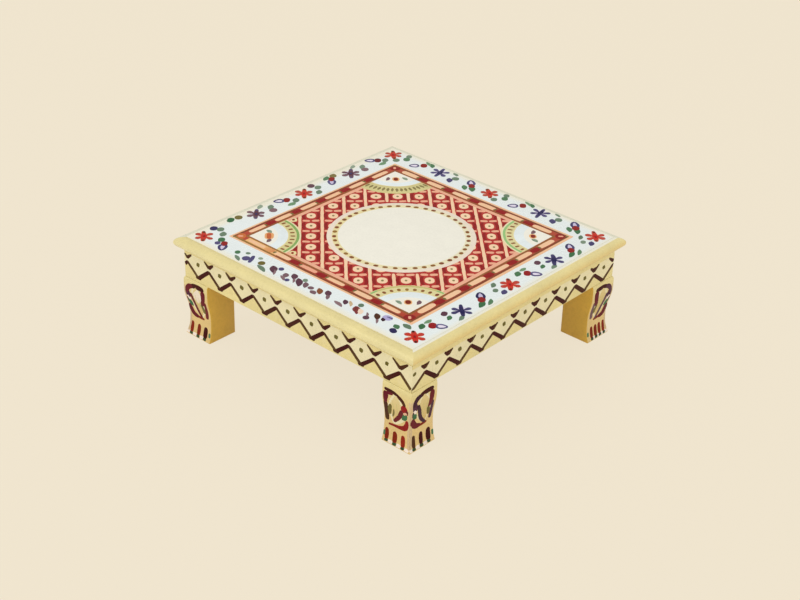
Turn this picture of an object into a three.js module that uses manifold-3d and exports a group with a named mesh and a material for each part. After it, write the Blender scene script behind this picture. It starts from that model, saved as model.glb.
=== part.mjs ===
// Low square stool: a board with a moulded edge on a mitred frame of rails, carried by four short legs.
// Millimetres, +Z up. The origin is on the floor under the middle of the board, and the front rail is on -Y.
import * as THREE from "three";
import { mergeVertices } from "three/addons/utils/BufferGeometryUtils.js";
import Module from "manifold-3d";

// Overall sizes
const STOOL_WIDTH = 305; // over the moulded edge, the same both ways
const STOOL_HEIGHT = 105; // floor to the board's top face

// Board and its moulded edge
const BOARD_THICKNESS = 12;
const NOSE_DEPTH = 7.2; // how far the rounded nose runs in from the widest line
const QUIRK_WIDTH = 2; // flat of the small step between the painted field and the nose
const QUIRK_DROP = 0.9; // height of that step

// Rails
const RAIL_HEIGHT = 30.2;
const RAIL_THICKNESS = 12;
const EDGE_OVERHANG = 7.4; // widest line of the nose to the faces of the rails

// Legs: a waisted outer face, seen alike from both outer sides, and a square post inside the frame
const LEG_WIDTH = 32.3; // inner face to the plane of the rails' faces
const LIP_PROUD = 1.6; // how far the upper lip stands out from the rails' faces
const SHOULDER_DROP = 4; // height of the rounded shoulder above the lip
const LIP_HEIGHT = 6; // straight part of the lip
const WAIST_INSET = 1.9; // how far the waist lies behind the rails' faces
const WAIST_LEVEL = 22; // floor to the narrowest line of the waist
const FOOT_PROUD = 1.2; // how far the foot flares out from the rails' faces
const FOOT_ARRIS = 0.6; // eased edge round the sole

// Cleats that hold the board down from below
const CLEAT_LENGTH = 60;
const CLEAT_SECTION = 15;
const CLEAT_SCREW_SPREAD = 30; // along the cleat, rail screw to board screw

// Countersunk screws
const SCREW_DIAMETER = 3.5;
const SCREW_HEAD_DIAMETER = 7;
const SCREW_HEAD_HEIGHT = 2.6;
const SCREW_RIM = 0.4; // straight edge of the head
const SCREW_TIP = 4; // length of the point
const SCREW_SUNK = 0.3; // head below the wood's face
const RECESS_WIDTH = 0.9; // arms of the cross recess
const RECESS_SPAN = 3.6;
const RECESS_DEPTH = 1.2;
const LEG_SCREW_LENGTH = 28;
const CLEAT_SCREW_LENGTH = 20;
const LEG_SCREW_STEP = 13; // height between the two screws of one post
const LEG_SCREW_DROP = 9; // board's underside to the upper screw of a post

// Clearances
const GLUE_LINE = 0.2; // between glued faces
const MITRE_GAP = 0.3; // between the cut ends of two rails
const SCREW_CLEARANCE = 0.3; // round a screw in its hole

// Smoothness
const CURVE_STEPS = 12;
const SCREW_SIDES = 16;

// Levels and planes that follow from the sizes above
const BOARD_HALF = STOOL_WIDTH / 2;
const BOARD_UNDERSIDE = STOOL_HEIGHT - BOARD_THICKNESS;
const NOSE_CENTRE = BOARD_HALF - NOSE_DEPTH;
const FIELD_HALF = NOSE_CENTRE - QUIRK_WIDTH;
const NOSE_RISE = (BOARD_THICKNESS - QUIRK_DROP) / 2;
const RAIL_FACE = BOARD_HALF - EDGE_OVERHANG;
const RAIL_BACK = RAIL_FACE - RAIL_THICKNESS;
const RAIL_TOP = BOARD_UNDERSIDE - GLUE_LINE;
const RAIL_BOTTOM = RAIL_TOP - RAIL_HEIGHT;
const LEG_TOP = RAIL_BOTTOM - GLUE_LINE;
const LEG_INNER = RAIL_FACE - LEG_WIDTH;
const POST_OUTER = RAIL_BACK - GLUE_LINE;
const POST_CENTRE = (LEG_INNER + POST_OUTER) / 2;
const CLEAT_INNER = POST_OUTER - CLEAT_SECTION;
const CLEAT_BOTTOM = RAIL_TOP - CLEAT_SECTION;

// Finishes
const FIELD_WHITE = new THREE.MeshStandardMaterial({ color: 0xe9ecea, roughness: 0.4 });
const GOLD_PAINT = new THREE.MeshStandardMaterial({ color: 0xd9be6a, roughness: 0.42, metalness: 0.25 });
const BARE_WOOD = new THREE.MeshStandardMaterial({ color: 0xb58a56, roughness: 0.75 });
const SCREW_STEEL = new THREE.MeshStandardMaterial({ color: 0xb9bcc0, roughness: 0.35, metalness: 0.9 });

const wasm = await Module();
wasm.setup();

// A closed geometry as a solid that can be cut and joined
function solidOf(geometry) {
  const plain = geometry.clone();
  plain.deleteAttribute("normal");
  plain.deleteAttribute("uv");
  const merged = mergeVertices(plain, 1e-4);
  const mesh = new wasm.Mesh({
    numProp: 3,
    vertProperties: merged.attributes.position.array,
    triVerts: new Uint32Array(merged.index.array),
  });
  return new wasm.Manifold(mesh);
}

// The solid's surface as a flat-shaded geometry
function geometryOf(solid) {
  const mesh = solid.getMesh();
  const geometry = new THREE.BufferGeometry();
  geometry.setAttribute("position", new THREE.BufferAttribute(new Float32Array(mesh.vertProperties), 3));
  geometry.setIndex(new THREE.BufferAttribute(new Uint32Array(mesh.triVerts), 1));
  const flat = geometry.toNonIndexed();
  flat.computeVertexNormals();
  return flat;
}

// A box between two corners
function block(low, high) {
  const size = high.map((value, axis) => value - low[axis]);
  const middle = high.map((value, axis) => (value + low[axis]) / 2);
  return new THREE.BoxGeometry(...size).translate(...middle);
}

// An upright section, drawn as X across and Z up, run along Y over the whole stool
function runAlongY(section) {
  const run = new THREE.ExtrudeGeometry(section, {
    depth: STOOL_WIDTH,
    bevelEnabled: false,
    curveSegments: CURVE_STEPS,
  });
  return run.translate(0, 0, -STOOL_WIDTH / 2).rotateX(Math.PI / 2);
}

// What two crossing runs of one section share: the same moulding round the corner, with a mitre where they meet
function crossed(section) {
  const run = runAlongY(section);
  const across = run.clone().rotateZ(Math.PI / 2);
  return solidOf(run).intersect(solidOf(across));
}

// Section of the board: the flat field, the small step, and the rounded nose down to the underside
function boardSection() {
  const noseLevel = BOARD_UNDERSIDE + NOSE_RISE;
  const section = new THREE.Shape();
  section.moveTo(-FIELD_HALF, STOOL_HEIGHT);
  section.lineTo(-FIELD_HALF, STOOL_HEIGHT - QUIRK_DROP);
  section.lineTo(-NOSE_CENTRE, STOOL_HEIGHT - QUIRK_DROP);
  section.absellipse(-NOSE_CENTRE, noseLevel, NOSE_DEPTH, NOSE_RISE, Math.PI / 2, (3 * Math.PI) / 2, false);
  section.lineTo(NOSE_CENTRE, BOARD_UNDERSIDE);
  section.absellipse(NOSE_CENTRE, noseLevel, NOSE_DEPTH, NOSE_RISE, -Math.PI / 2, Math.PI / 2, false);
  section.lineTo(FIELD_HALF, STOOL_HEIGHT - QUIRK_DROP);
  section.lineTo(FIELD_HALF, STOOL_HEIGHT);
  return section;
}

// Section of a leg, outwards along X: the sole, the flared foot, the waist, the lip and the rounded shoulder
function legSection() {
  const foot = RAIL_FACE + FOOT_PROUD;
  const waist = RAIL_FACE - WAIST_INSET;
  const lip = RAIL_FACE + LIP_PROUD;
  const shoulderLevel = LEG_TOP - SHOULDER_DROP;
  const lipLevel = shoulderLevel - LIP_HEIGHT;
  const section = new THREE.Shape();
  section.moveTo(LEG_INNER, 0);
  section.lineTo(foot - FOOT_ARRIS, 0);
  section.lineTo(foot, FOOT_ARRIS);
  section.bezierCurveTo(
    foot - 0.6 * (foot - waist), WAIST_LEVEL * 0.24,
    waist, WAIST_LEVEL * 0.5,
    waist, WAIST_LEVEL,
  );
  const bend = (lipLevel - WAIST_LEVEL) / 2;
  section.bezierCurveTo(waist, WAIST_LEVEL + bend, lip, lipLevel - bend, lip, lipLevel);
  section.lineTo(lip, shoulderLevel);
  section.absellipse(RAIL_FACE, shoulderLevel, LIP_PROUD, SHOULDER_DROP, 0, Math.PI / 2, false);
  section.lineTo(LEG_INNER, LEG_TOP);
  return section;
}

// Half profile of a screw about its own axis: the tip at the bottom, the head's flat at zero
function screwProfile(length, grow) {
  const shank = SCREW_DIAMETER / 2 + grow;
  const head = SCREW_HEAD_DIAMETER / 2 + grow;
  return [
    new THREE.Vector2(0, -length - grow),
    new THREE.Vector2(shank, SCREW_TIP - length - grow),
    new THREE.Vector2(shank, -SCREW_HEAD_HEIGHT - grow),
    new THREE.Vector2(head, -SCREW_RIM - grow),
    new THREE.Vector2(head, grow > 0 ? SCREW_SUNK + grow : 0),
    new THREE.Vector2(0, grow > 0 ? SCREW_SUNK + grow : 0),
  ];
}

// The screw itself, with its cross recess, driven towards -Y
function screwSolid(length) {
  const body = solidOf(new THREE.LatheGeometry(screwProfile(length, 0), SCREW_SIDES));
  const arm = (wide, long) => solidOf(block([-wide / 2, -RECESS_DEPTH, -long / 2], [wide / 2, 1, long / 2]));
  return body.subtract(arm(RECESS_WIDTH, RECESS_SPAN)).subtract(arm(RECESS_SPAN, RECESS_WIDTH));
}

// The hole that the screw leaves, the same way round
function screwHole(length) {
  return new THREE.LatheGeometry(screwProfile(length, SCREW_CLEARANCE), SCREW_SIDES);
}

// A place for a screw: where its head's flat lies, and the way that it is driven
function screwPlace(x, y, z, drive) {
  const turn = new THREE.Quaternion().setFromUnitVectors(new THREE.Vector3(0, -1, 0), drive);
  const sunk = drive.clone().multiplyScalar(SCREW_SUNK);
  const at = new THREE.Vector3(x, y, z).add(sunk);
  return new THREE.Matrix4().compose(at, turn, new THREE.Vector3(1, 1, 1));
}

const TOWARDS_RIGHT = new THREE.Vector3(1, 0, 0);
const TOWARDS_BACK = new THREE.Vector3(0, 1, 0);
const UPWARDS = new THREE.Vector3(0, 0, 1);

// In the back right corner: one screw through the post into each rail, the two at different heights
const UPPER_SCREW_LEVEL = BOARD_UNDERSIDE - LEG_SCREW_DROP;
const LOWER_SCREW_LEVEL = UPPER_SCREW_LEVEL - LEG_SCREW_STEP;
const SIDE_RAIL_SCREW = screwPlace(LEG_INNER, POST_CENTRE, LOWER_SCREW_LEVEL, TOWARDS_RIGHT);
const END_RAIL_SCREW = screwPlace(POST_CENTRE, LEG_INNER, UPPER_SCREW_LEVEL, TOWARDS_BACK);

// On the back rail: one screw through the cleat into the rail, and one up into the board
const CLEAT_RAIL_SCREW = screwPlace(
  -CLEAT_SCREW_SPREAD / 2,
  CLEAT_INNER,
  CLEAT_BOTTOM + CLEAT_SECTION / 2,
  TOWARDS_BACK,
);
const CLEAT_BOARD_SCREW = screwPlace(
  CLEAT_SCREW_SPREAD / 2,
  CLEAT_INNER + CLEAT_SECTION / 2,
  CLEAT_BOTTOM,
  UPWARDS,
);

// The four corners as mirrored copies, and the four sides as quarter turns of the back one
const CORNERS = [
  ["back_right", 1, 1],
  ["back_left", -1, 1],
  ["front_left", -1, -1],
  ["front_right", 1, -1],
];
const SIDES = ["back", "left", "front", "right"];
const mirrored = (sx, sy) => new THREE.Matrix4().makeScale(sx, sy, 1);
const turned = (side) => new THREE.Matrix4().makeRotationZ((side * Math.PI) / 2);

// A hole placed by a screw's matrix and then by the corner's or side's own
function holeAt(length, ...matrices) {
  const place = matrices.reduce((total, matrix) => total.multiply(matrix), new THREE.Matrix4());
  const hole = screwHole(length).applyMatrix4(place);
  return place.determinant() < 0 ? solidOf(flipped(hole)) : solidOf(hole);
}

// A mirrored geometry with its faces turned outwards again
function flipped(geometry) {
  const order = geometry.index.array;
  for (let i = 0; i < order.length; i += 3) {
    [order[i + 1], order[i + 2]] = [order[i + 2], order[i + 1]];
  }
  return geometry;
}

// The board, with a blind hole over each cleat
function boardGeometry() {
  let board = crossed(boardSection());
  SIDES.forEach((_, side) => {
    board = board.subtract(holeAt(CLEAT_SCREW_LENGTH, turned(side), CLEAT_BOARD_SCREW));
  });
  return geometryOf(board);
}

// A leg of the back right corner: the waisted block and the post that rises inside the frame
function legGeometry() {
  const postLow = LEG_TOP - CLEAT_SECTION;
  const post = block([LEG_INNER, LEG_INNER, postLow], [POST_OUTER, POST_OUTER, RAIL_TOP]);
  const leg = crossed(legSection())
    .add(solidOf(post))
    .subtract(holeAt(LEG_SCREW_LENGTH, SIDE_RAIL_SCREW))
    .subtract(holeAt(LEG_SCREW_LENGTH, END_RAIL_SCREW));
  return geometryOf(leg);
}

// The rail of one side, drawn in plan with mitred ends, and drilled for the posts' and the cleat's screws
function railGeometry(side) {
  const cut = MITRE_GAP / Math.SQRT2;
  const plan = new THREE.Shape();
  plan.moveTo(cut - RAIL_FACE, RAIL_FACE);
  plan.lineTo(cut - RAIL_BACK, RAIL_BACK);
  plan.lineTo(RAIL_BACK - cut, RAIL_BACK);
  plan.lineTo(RAIL_FACE - cut, RAIL_FACE);
  const bar = new THREE.ExtrudeGeometry(plan, { depth: RAIL_HEIGHT, bevelEnabled: false });
  let rail = solidOf(bar.translate(0, 0, RAIL_BOTTOM).applyMatrix4(turned(side)));
  rail = rail.subtract(holeAt(CLEAT_SCREW_LENGTH, turned(side), CLEAT_RAIL_SCREW));
  for (const [, sx, sy] of CORNERS) {
    rail = rail.subtract(holeAt(LEG_SCREW_LENGTH, mirrored(sx, sy), SIDE_RAIL_SCREW));
    rail = rail.subtract(holeAt(LEG_SCREW_LENGTH, mirrored(sx, sy), END_RAIL_SCREW));
  }
  return geometryOf(rail);
}

// A cleat behind the back rail, drilled both ways
function cleatGeometry() {
  const bar = block(
    [-CLEAT_LENGTH / 2, CLEAT_INNER, CLEAT_BOTTOM],
    [CLEAT_LENGTH / 2, POST_OUTER, RAIL_TOP],
  );
  const cleat = solidOf(bar)
    .subtract(holeAt(CLEAT_SCREW_LENGTH, CLEAT_RAIL_SCREW))
    .subtract(holeAt(CLEAT_SCREW_LENGTH, CLEAT_BOARD_SCREW));
  return geometryOf(cleat);
}

// A named mesh in a group, with a matrix of its own where it has one
function addPiece(group, name, geometry, material, place) {
  const mesh = new THREE.Mesh(geometry, material);
  mesh.name = name;
  if (place) {
    mesh.applyMatrix4(place);
  }
  group.add(mesh);
}

const stool = new THREE.Group();
addPiece(stool, "top_board", boardGeometry(), FIELD_WHITE);

const legShape = legGeometry();
const legScrewShape = geometryOf(screwSolid(LEG_SCREW_LENGTH));
for (const [corner, sx, sy] of CORNERS) {
  const group = new THREE.Group();
  group.scale.set(sx, sy, 1);
  addPiece(group, `leg_${corner}`, legShape, GOLD_PAINT);
  addPiece(group, `leg_screw_${corner}_side_rail`, legScrewShape, SCREW_STEEL, SIDE_RAIL_SCREW);
  addPiece(group, `leg_screw_${corner}_end_rail`, legScrewShape, SCREW_STEEL, END_RAIL_SCREW);
  stool.add(group);
}

const cleatShape = cleatGeometry();
const cleatScrewShape = geometryOf(screwSolid(CLEAT_SCREW_LENGTH));
SIDES.forEach((side, index) => {
  addPiece(stool, `rail_${side}`, railGeometry(index), GOLD_PAINT);
  const group = new THREE.Group();
  group.rotation.z = (index * Math.PI) / 2;
  addPiece(group, `cleat_${side}`, cleatShape, BARE_WOOD);
  addPiece(group, `cleat_screw_${side}_rail`, cleatScrewShape, SCREW_STEEL, CLEAT_RAIL_SCREW);
  addPiece(group, `cleat_screw_${side}_board`, cleatScrewShape, SCREW_STEEL, CLEAT_BOARD_SCREW);
  stool.add(group);
});

export default stool;
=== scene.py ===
"""A low square wooden stool, enamelled white and gold and painted by hand.

Lengths inside the shape functions are millimetres. They become metres when a mesh is made.
"""
import math
from collections import defaultdict

import bpy
import numpy as np
from bpy.props import FloatProperty, FloatVectorProperty, IntProperty, PointerProperty
from mathutils import Matrix, Vector


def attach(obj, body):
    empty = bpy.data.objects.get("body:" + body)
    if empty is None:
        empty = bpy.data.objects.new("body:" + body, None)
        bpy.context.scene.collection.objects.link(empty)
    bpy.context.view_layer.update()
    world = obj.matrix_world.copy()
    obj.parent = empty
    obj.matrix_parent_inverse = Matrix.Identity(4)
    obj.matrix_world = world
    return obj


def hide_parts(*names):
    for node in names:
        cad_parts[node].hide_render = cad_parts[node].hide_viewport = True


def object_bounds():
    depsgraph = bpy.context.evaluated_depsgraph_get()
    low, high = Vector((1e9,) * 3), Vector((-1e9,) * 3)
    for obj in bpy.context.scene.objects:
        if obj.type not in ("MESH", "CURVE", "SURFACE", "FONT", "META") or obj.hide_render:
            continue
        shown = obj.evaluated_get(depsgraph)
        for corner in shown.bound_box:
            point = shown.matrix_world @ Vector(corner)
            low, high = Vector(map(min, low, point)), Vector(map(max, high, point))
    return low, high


bl_info = {
    "name": "Painted low stool",
    "version": (1, 0, 0),
    "blender": (4, 5, 0),
    "location": "3D View > Sidebar > Stool",
    "description": "Dresses the frame of a low square stool with its mouldings, legs and painted pattern",
    "category": "Object",
}

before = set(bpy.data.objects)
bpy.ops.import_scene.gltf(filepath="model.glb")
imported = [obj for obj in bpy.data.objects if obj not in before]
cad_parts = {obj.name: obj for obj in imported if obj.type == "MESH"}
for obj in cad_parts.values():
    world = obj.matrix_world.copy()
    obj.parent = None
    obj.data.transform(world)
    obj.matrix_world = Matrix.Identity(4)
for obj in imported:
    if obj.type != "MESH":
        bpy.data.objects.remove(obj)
CAD_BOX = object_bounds()
MM = 0.001

# The board and its moulded edge
BOARD_HALF = CAD_BOX[1].x / MM
BOARD_TOP = CAD_BOX[1].z / MM
BOARD_THICKNESS = 12
NOSE_DEPTH = 7.2
QUIRK_WIDTH = 2
QUIRK_DROP = 0.9
BOARD_CORNER = 1.0
BOARD_UNDERSIDE = BOARD_TOP - BOARD_THICKNESS
NOSE_CENTRE = BOARD_HALF - NOSE_DEPTH
FIELD_HALF = NOSE_CENTRE - QUIRK_WIDTH
NOSE_RISE = (BOARD_THICKNESS - QUIRK_DROP) / 2
EDGE_LIGHT_SPAN = (BOARD_UNDERSIDE + 4, BOARD_UNDERSIDE + 10)  # levels between which the edge's gold turns downwards to its painted reflection, or at the right to its painted shade

# The rails and the legs
GLUE_LINE = 0.2
EDGE_OVERHANG = 7.4
RAIL_HEIGHT = 30.2
RAIL_THICKNESS = 12
GOLD_LAP = 7  # how far in from their faces the rails' gold reaches
LEG_WIDTH = 32.3
RAIL_FACE = BOARD_HALF - EDGE_OVERHANG
RAIL_TOP = BOARD_UNDERSIDE - GLUE_LINE
RAIL_BOTTOM = RAIL_TOP - RAIL_HEIGHT
RAIL_BACK = RAIL_FACE - RAIL_THICKNESS
LEG_TOP = RAIL_BOTTOM - GLUE_LINE
LEG_GOLD_SPAN = (44, 60)  # levels between which a leg's gold deepens downwards
LEG_INNER = RAIL_FACE - LEG_WIDTH
POST_OUTER = RAIL_BACK - GLUE_LINE
POST_CENTRE = (LEG_INNER + POST_OUTER) / 2
LIP_PROUD = 1.6
SHOULDER_DROP = 4
LIP_HEIGHT = 6
WAIST_INSET = 1.9
WAIST_LEVEL = 22
FOOT_PROUD = 1.2
FOOT_ARRIS = 0.6

# The screws, and their holes in the posts and over the cleats
SCREW_RADIUS = 1.75
SCREW_HEAD_RADIUS = 3.5
SCREW_HEAD_HEIGHT = 2.6
SCREW_RIM = 0.4
SCREW_TIP = 4
SCREW_CLEARANCE = 0.3
SCREW_SUNK = 0.3
HOLE_SIDES = 24
LEG_SCREW_LENGTH = 28
CLEAT_SCREW_LENGTH = 20
UPPER_SCREW_DROP = 9
SCREW_STEP = 13
CLEAT_SECTION = 15
UPPER_SCREW_LEVEL = BOARD_UNDERSIDE - UPPER_SCREW_DROP
LOWER_SCREW_LEVEL = UPPER_SCREW_LEVEL - SCREW_STEP
CLEAT_BOTTOM = RAIL_TOP - CLEAT_SECTION
CLEAT_MIDDLE = POST_OUTER - CLEAT_SECTION / 2
CLEAT_SCREW_ACROSS = 15

# Levels of paint above the surface that carries it, and how deep its underside lies in that surface
GROUND = 0.06
COVER = 0.22
ON_COVER = 0.28
SUNK = 0.05

# Where paint ends: short of an edge, past a corner to meet its neighbour, and over the board's right step
RIM_LEFT_CLEAR = 0.4
CORNER_LAP = 0.15
ENAMEL_LAP = 3.0

# How far the hand strays: in the place of a stroke, and in its width and tone as shares
PLACE_STRAYS = 0.14
WIDTH_STRAYS = 0.05
TONE_STRAYS = 0.06

# The stage, in metres
FLOOR_RADIUS = 6.0
FLOOR_DEPTH = 0.02
FLOOR_SIDES = 64
FLOOR_PLAINNESS = 0.92  # share of the floor's look that takes no shadow
LAMP_SIZE = 2.0
LAMP_AIM = (0, 0, 0.05)
KEY_PLACE = (-0.5, -1.9, 2.1)
FILL_PLACE = (2.1, 0.1, 1.5)
WHITE_LIGHT = (1.0, 1.0, 1.0)
WARM_LIGHT = (1.0, 0.90, 0.72)

CORNERS = (("back_right", 1, 1), ("back_left", -1, 1), ("front_left", -1, -1), ("front_right", 1, -1))
CORNER_STEPS = 6  # points round each corner of a loop
SHARP_FROM = math.radians(38)
SLANT = -math.pi / 4
FLOWER_SPREAD = 262  # how far the corner flowers lie along the slant, as y less x
hand = np.random.default_rng(11)


def length_setting(name, description, default):
    """A length in metres that a user may change."""
    return FloatProperty(
        name=name, description=description, default=default, min=0, unit="LENGTH", precision=4
    )


def angle_setting(name, description, degrees):
    """An angle that a user may change, given here in degrees."""
    return FloatProperty(name=name, description=description, default=math.radians(degrees), subtype="ANGLE")


def power_setting(name, description, default):
    """A lamp's power in watts."""
    return FloatProperty(name=name, description=description, default=default, min=0, unit="POWER")


def paint_setting(name, description, default):
    """A paint's colour as it looks on a screen."""
    return FloatVectorProperty(
        name=name, description=description, default=default, size=3, min=0, max=1, subtype="COLOR_GAMMA"
    )


class StoolSizes(bpy.types.PropertyGroup):
    """Sizes of the softened edges and of the painted pattern"""

    arris: length_setting("Arris", "Radius of the softened edges of the board", 0.0004)
    leg_arris: length_setting("Leg arris", "Radius of the upright edges of a leg", 0.0009)
    relief: length_setting("Relief", "How far a brush stroke stands up", 0.00009)
    flower_line: length_setting("Flower line", "Middle of the board to that of its flower border", 0.131)
    star_radius: length_setting("Star radius", "Middle of a star flower to the tip of a petal", 0.0094)
    frame_outer: length_setting("Frame outer edge", "Middle of the board to the outside of the frame", 0.1128)
    frame_inner: length_setting("Frame inner edge", "Middle of the board to the inside of the frame", 0.1015)
    disc_radius: length_setting("Disc radius", "Radius of the plain cream disc", 0.0605)
    halo_radius: length_setting("Halo radius", "Radius of the pale ring round the disc", 0.071)
    fan_radius: length_setting("Fan radius", "Radius of the quarter fans in the frame's corners", 0.0488)
    cell: length_setting("Cell", "Half the distance between two cells of the lattice in one row", 0.01515)
    zigzag_pitch: length_setting("Zigzag pitch", "Between two points of the zigzag on a rail", 0.03028)
    disc_dots: IntProperty(name="Disc dots", description="Number of dots round the disc", default=44, min=8)


class StoolPaints(bpy.types.PropertyGroup):
    """Colours of the grounds and of the brush strokes, and of the painted reflections and painted shade on
    the board's edge
    """

    white: paint_setting("Enamel white", "Ground of the flower border", (0.890, 0.925, 0.930))
    field_rim: paint_setting("Field rim", "Edge of the white field", (0.920, 0.905, 0.830))
    cream: paint_setting("Cream", "Disc in the middle", (0.940, 0.930, 0.880))
    halo: paint_setting("Halo", "Ring round the disc", (0.925, 0.875, 0.805))
    gold: paint_setting("Pale gold", "Moulded edge, rails and outer faces of the legs", (0.900, 0.845, 0.600))
    leg_gold: paint_setting("Leg gold", "Outer faces of the legs below the shoulder", (0.885, 0.770, 0.515))
    deep_gold: paint_setting("Deep gold", "Inner faces of the legs", (0.880, 0.715, 0.260))
    # Painted reflection: the lower halves of the front, left and back edges are paler, as if they mirrored
    # the floor
    front_edge_reflection: paint_setting("Front edge", "Lower half of the edge at the front", (0.920, 0.885, 0.680))
    # Painted shade: the lower half of the right edge is darker and deeper in colour
    right_edge: paint_setting("Right edge", "Lower half of the edge at the right", (0.895, 0.795, 0.510))
    # Painted reflection: the upper halves of the left and back edges are paler, as if they mirrored the
    # backdrop
    far_edge: paint_setting("Far edge", "Upper half of the edge at the left and back", (0.865, 0.865, 0.785))
    wood: paint_setting("Bare wood", "Underside, cleats and backs of the rails", (0.700, 0.520, 0.330))
    zinc: paint_setting("Zinc", "Screws", (0.700, 0.710, 0.720))
    vermilion: paint_setting("Vermilion", "Red star flowers", (0.790, 0.120, 0.070))
    indigo: paint_setting("Indigo", "Blue star flowers and buds", (0.090, 0.070, 0.300))
    green: paint_setting("Leaf green", "Leaves", (0.160, 0.390, 0.240))
    sage: paint_setting("Sage", "Greyer leaves", (0.340, 0.450, 0.360))
    plum: paint_setting("Plum", "Muted flowers along the front", (0.300, 0.130, 0.230))
    crimson: paint_setting("Crimson", "Buds, lattice rings and blocks of the frame", (0.570, 0.070, 0.095))
    rust: paint_setting("Rust", "Ground of the frame", (0.690, 0.280, 0.200))
    khaki: paint_setting("Khaki", "Bands of the fans", (0.780, 0.745, 0.470))
    aubergine: paint_setting("Aubergine", "Darkest strokes of the legs", (0.200, 0.050, 0.130))
    brick: paint_setting("Brick", "Ground of the lattice", (0.700, 0.190, 0.170))
    peach: paint_setting("Peach", "Lines, rings and bars", (0.965, 0.830, 0.690))
    salmon: paint_setting("Salmon", "Pairs of dabs and the frame's inner line", (0.930, 0.650, 0.530))
    russet: paint_setting("Russet", "Lines of the frame and dots", (0.500, 0.250, 0.160))
    olive: paint_setting("Olive", "Dots of the lattice and rails", (0.380, 0.350, 0.120))
    straw: paint_setting("Straw", "Yellow bands of the fans and the ring of dots", (0.915, 0.890, 0.770))
    lime: paint_setting("Lime", "Green arcs of the fans", (0.490, 0.620, 0.310))
    orange: paint_setting("Orange", "Flowers of the fans", (0.730, 0.300, 0.130))
    lavender: paint_setting("Lavender", "Insides of the buds", (0.640, 0.610, 0.800))
    maroon: paint_setting("Maroon", "Zigzag of the rails and strokes of the legs", (0.250, 0.030, 0.040))
    wine: paint_setting("Wine", "Darker strokes of the legs", (0.380, 0.050, 0.130))
    umber: paint_setting("Umber", "Browner strokes of the legs", (0.490, 0.140, 0.050))
    leaf_gold: paint_setting("Leaf gold", "Painted leaves of the legs", (0.830, 0.730, 0.480))
    pine: paint_setting("Pine", "Dark green of the toes", (0.200, 0.290, 0.180))
    dun: paint_setting("Dun", "Lines up the corners of the legs", (0.790, 0.690, 0.540))
    ivory: paint_setting("Ivory", "Diamonds of the rails", (0.915, 0.885, 0.740))
    blush: paint_setting("Blush", "Pale dabs of the legs", (0.960, 0.910, 0.870))


class StoolStage(bpy.types.PropertyGroup):
    """Floor, lamps and camera"""

    backdrop: paint_setting("Backdrop", "Colour of the floor and of what lies behind", (0.937, 0.894, 0.808))
    sky: FloatProperty(name="Sky", description="Strength of the even light all round", default=0.85, min=0)
    key: power_setting("Key lamp", "Power of the large lamp in front", 15)
    fill: power_setting("Fill lamp", "Power of the lamp at the right", 5)
    azimuth: angle_setting("Azimuth", "Turn of the camera round the stool", 41.547)
    elevation: angle_setting("Elevation", "Camera above the horizon", 29.886)
    roll: angle_setting("Roll", "Tilt of the camera about its own axis", 1.691)
    distance: length_setting("Distance", "Aim to camera", 1.4793)
    aim_height: length_setting("Aim height", "Floor to the point that the camera turns round", 0.06317)
    slide: length_setting("Slide", "Camera moved to its own left", 0.00039)
    sink: length_setting("Sink", "Camera moved down", 0.02396)
    lens: FloatProperty(
        name="Lens", description="Focal length on a 36 mm sensor, in millimetres", default=69.32, min=1
    )


def sizes():
    return bpy.context.scene.stool_sizes


def paints():
    return bpy.context.scene.stool_paints


def linear(colour):
    """The linear colour of one that is given as it looks on a screen, with an alpha of one."""
    shown = np.array(colour)
    plain = np.where(shown <= 0.04045, shown / 12.92, ((shown + 0.055) / 1.055) ** 2.4)
    return (*plain.tolist(), 1.0)


# Shapes


def pairs(first, second):
    """Two columns of numbers side by side."""
    return np.stack([first, second], axis=1)


def at_level(outline, level):
    """A flat outline at one level."""
    return np.hstack([outline, np.full((len(outline), 1), level)])


def skin(rings, closed=False):
    """Four-cornered faces between neighbouring rings of points, with the end rings as caps unless closed."""
    count, around = rings.shape[:2]
    places = np.arange(count * around).reshape(count, around)
    here = places if closed else places[:-1]
    there = np.roll(places, -1, axis=0) if closed else places[1:]
    quads = np.stack([here, np.roll(here, -1, axis=1), np.roll(there, -1, axis=1), there], axis=-1)
    faces = quads.reshape(-1, 4).tolist()
    if not closed:
        faces += [places[0, ::-1].tolist(), places[-1].tolist()]
    return rings.reshape(-1, 3), faces


def flow(marks, count, at_ends=True):
    """A smooth curve through marks, each of any number of columns with its place in the first two.

    Between two marks it is the cubic that leaves and arrives along the slopes there, worked out over the
    straight distances. The samples crowd towards the ends by a cosine, so that the ends come out round.
    """
    marks = np.asarray(marks, float)
    at = np.concatenate([[0], np.cumsum(np.hypot(*np.diff(marks[:, :2], axis=0).T))])
    slope = np.gradient(marks, at, axis=0)
    share = np.linspace(0, 1, count)
    share = (1 - np.cos(math.pi * share)) / 2 if at_ends else share
    where = share * at[-1]
    left = np.clip(np.searchsorted(at, where, side="right") - 1, 0, len(at) - 2)
    step = (at[left + 1] - at[left])[:, None]
    t = ((where - at[left]) / step[:, 0])[:, None]
    a, b, va, vb = marks[left], marks[left + 1], slope[left] * step, slope[left + 1] * step
    bend = 2 * (a - b) + va + vb
    return ((bend * t + 3 * (b - a) - 2 * va - vb) * t + va) * t + a, where, at[-1]


# The section of a stroke, as shares of its half width and of its rise, with both ends below the surface
ACROSS = np.array([1, 1, 0.62, 0, -0.62, -1, -1])
DOME = np.array([-1, 0, 0.78, 1, 0.78, 0, -1])
BAND_EASE = 0.2  # width of the slope at the rims of a band
FULL_RELIEF_FROM = 0.6  # half width from which a stroke stands at its full relief
LEAST_SQUARE = 0.0004  # square of the least half width


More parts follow.
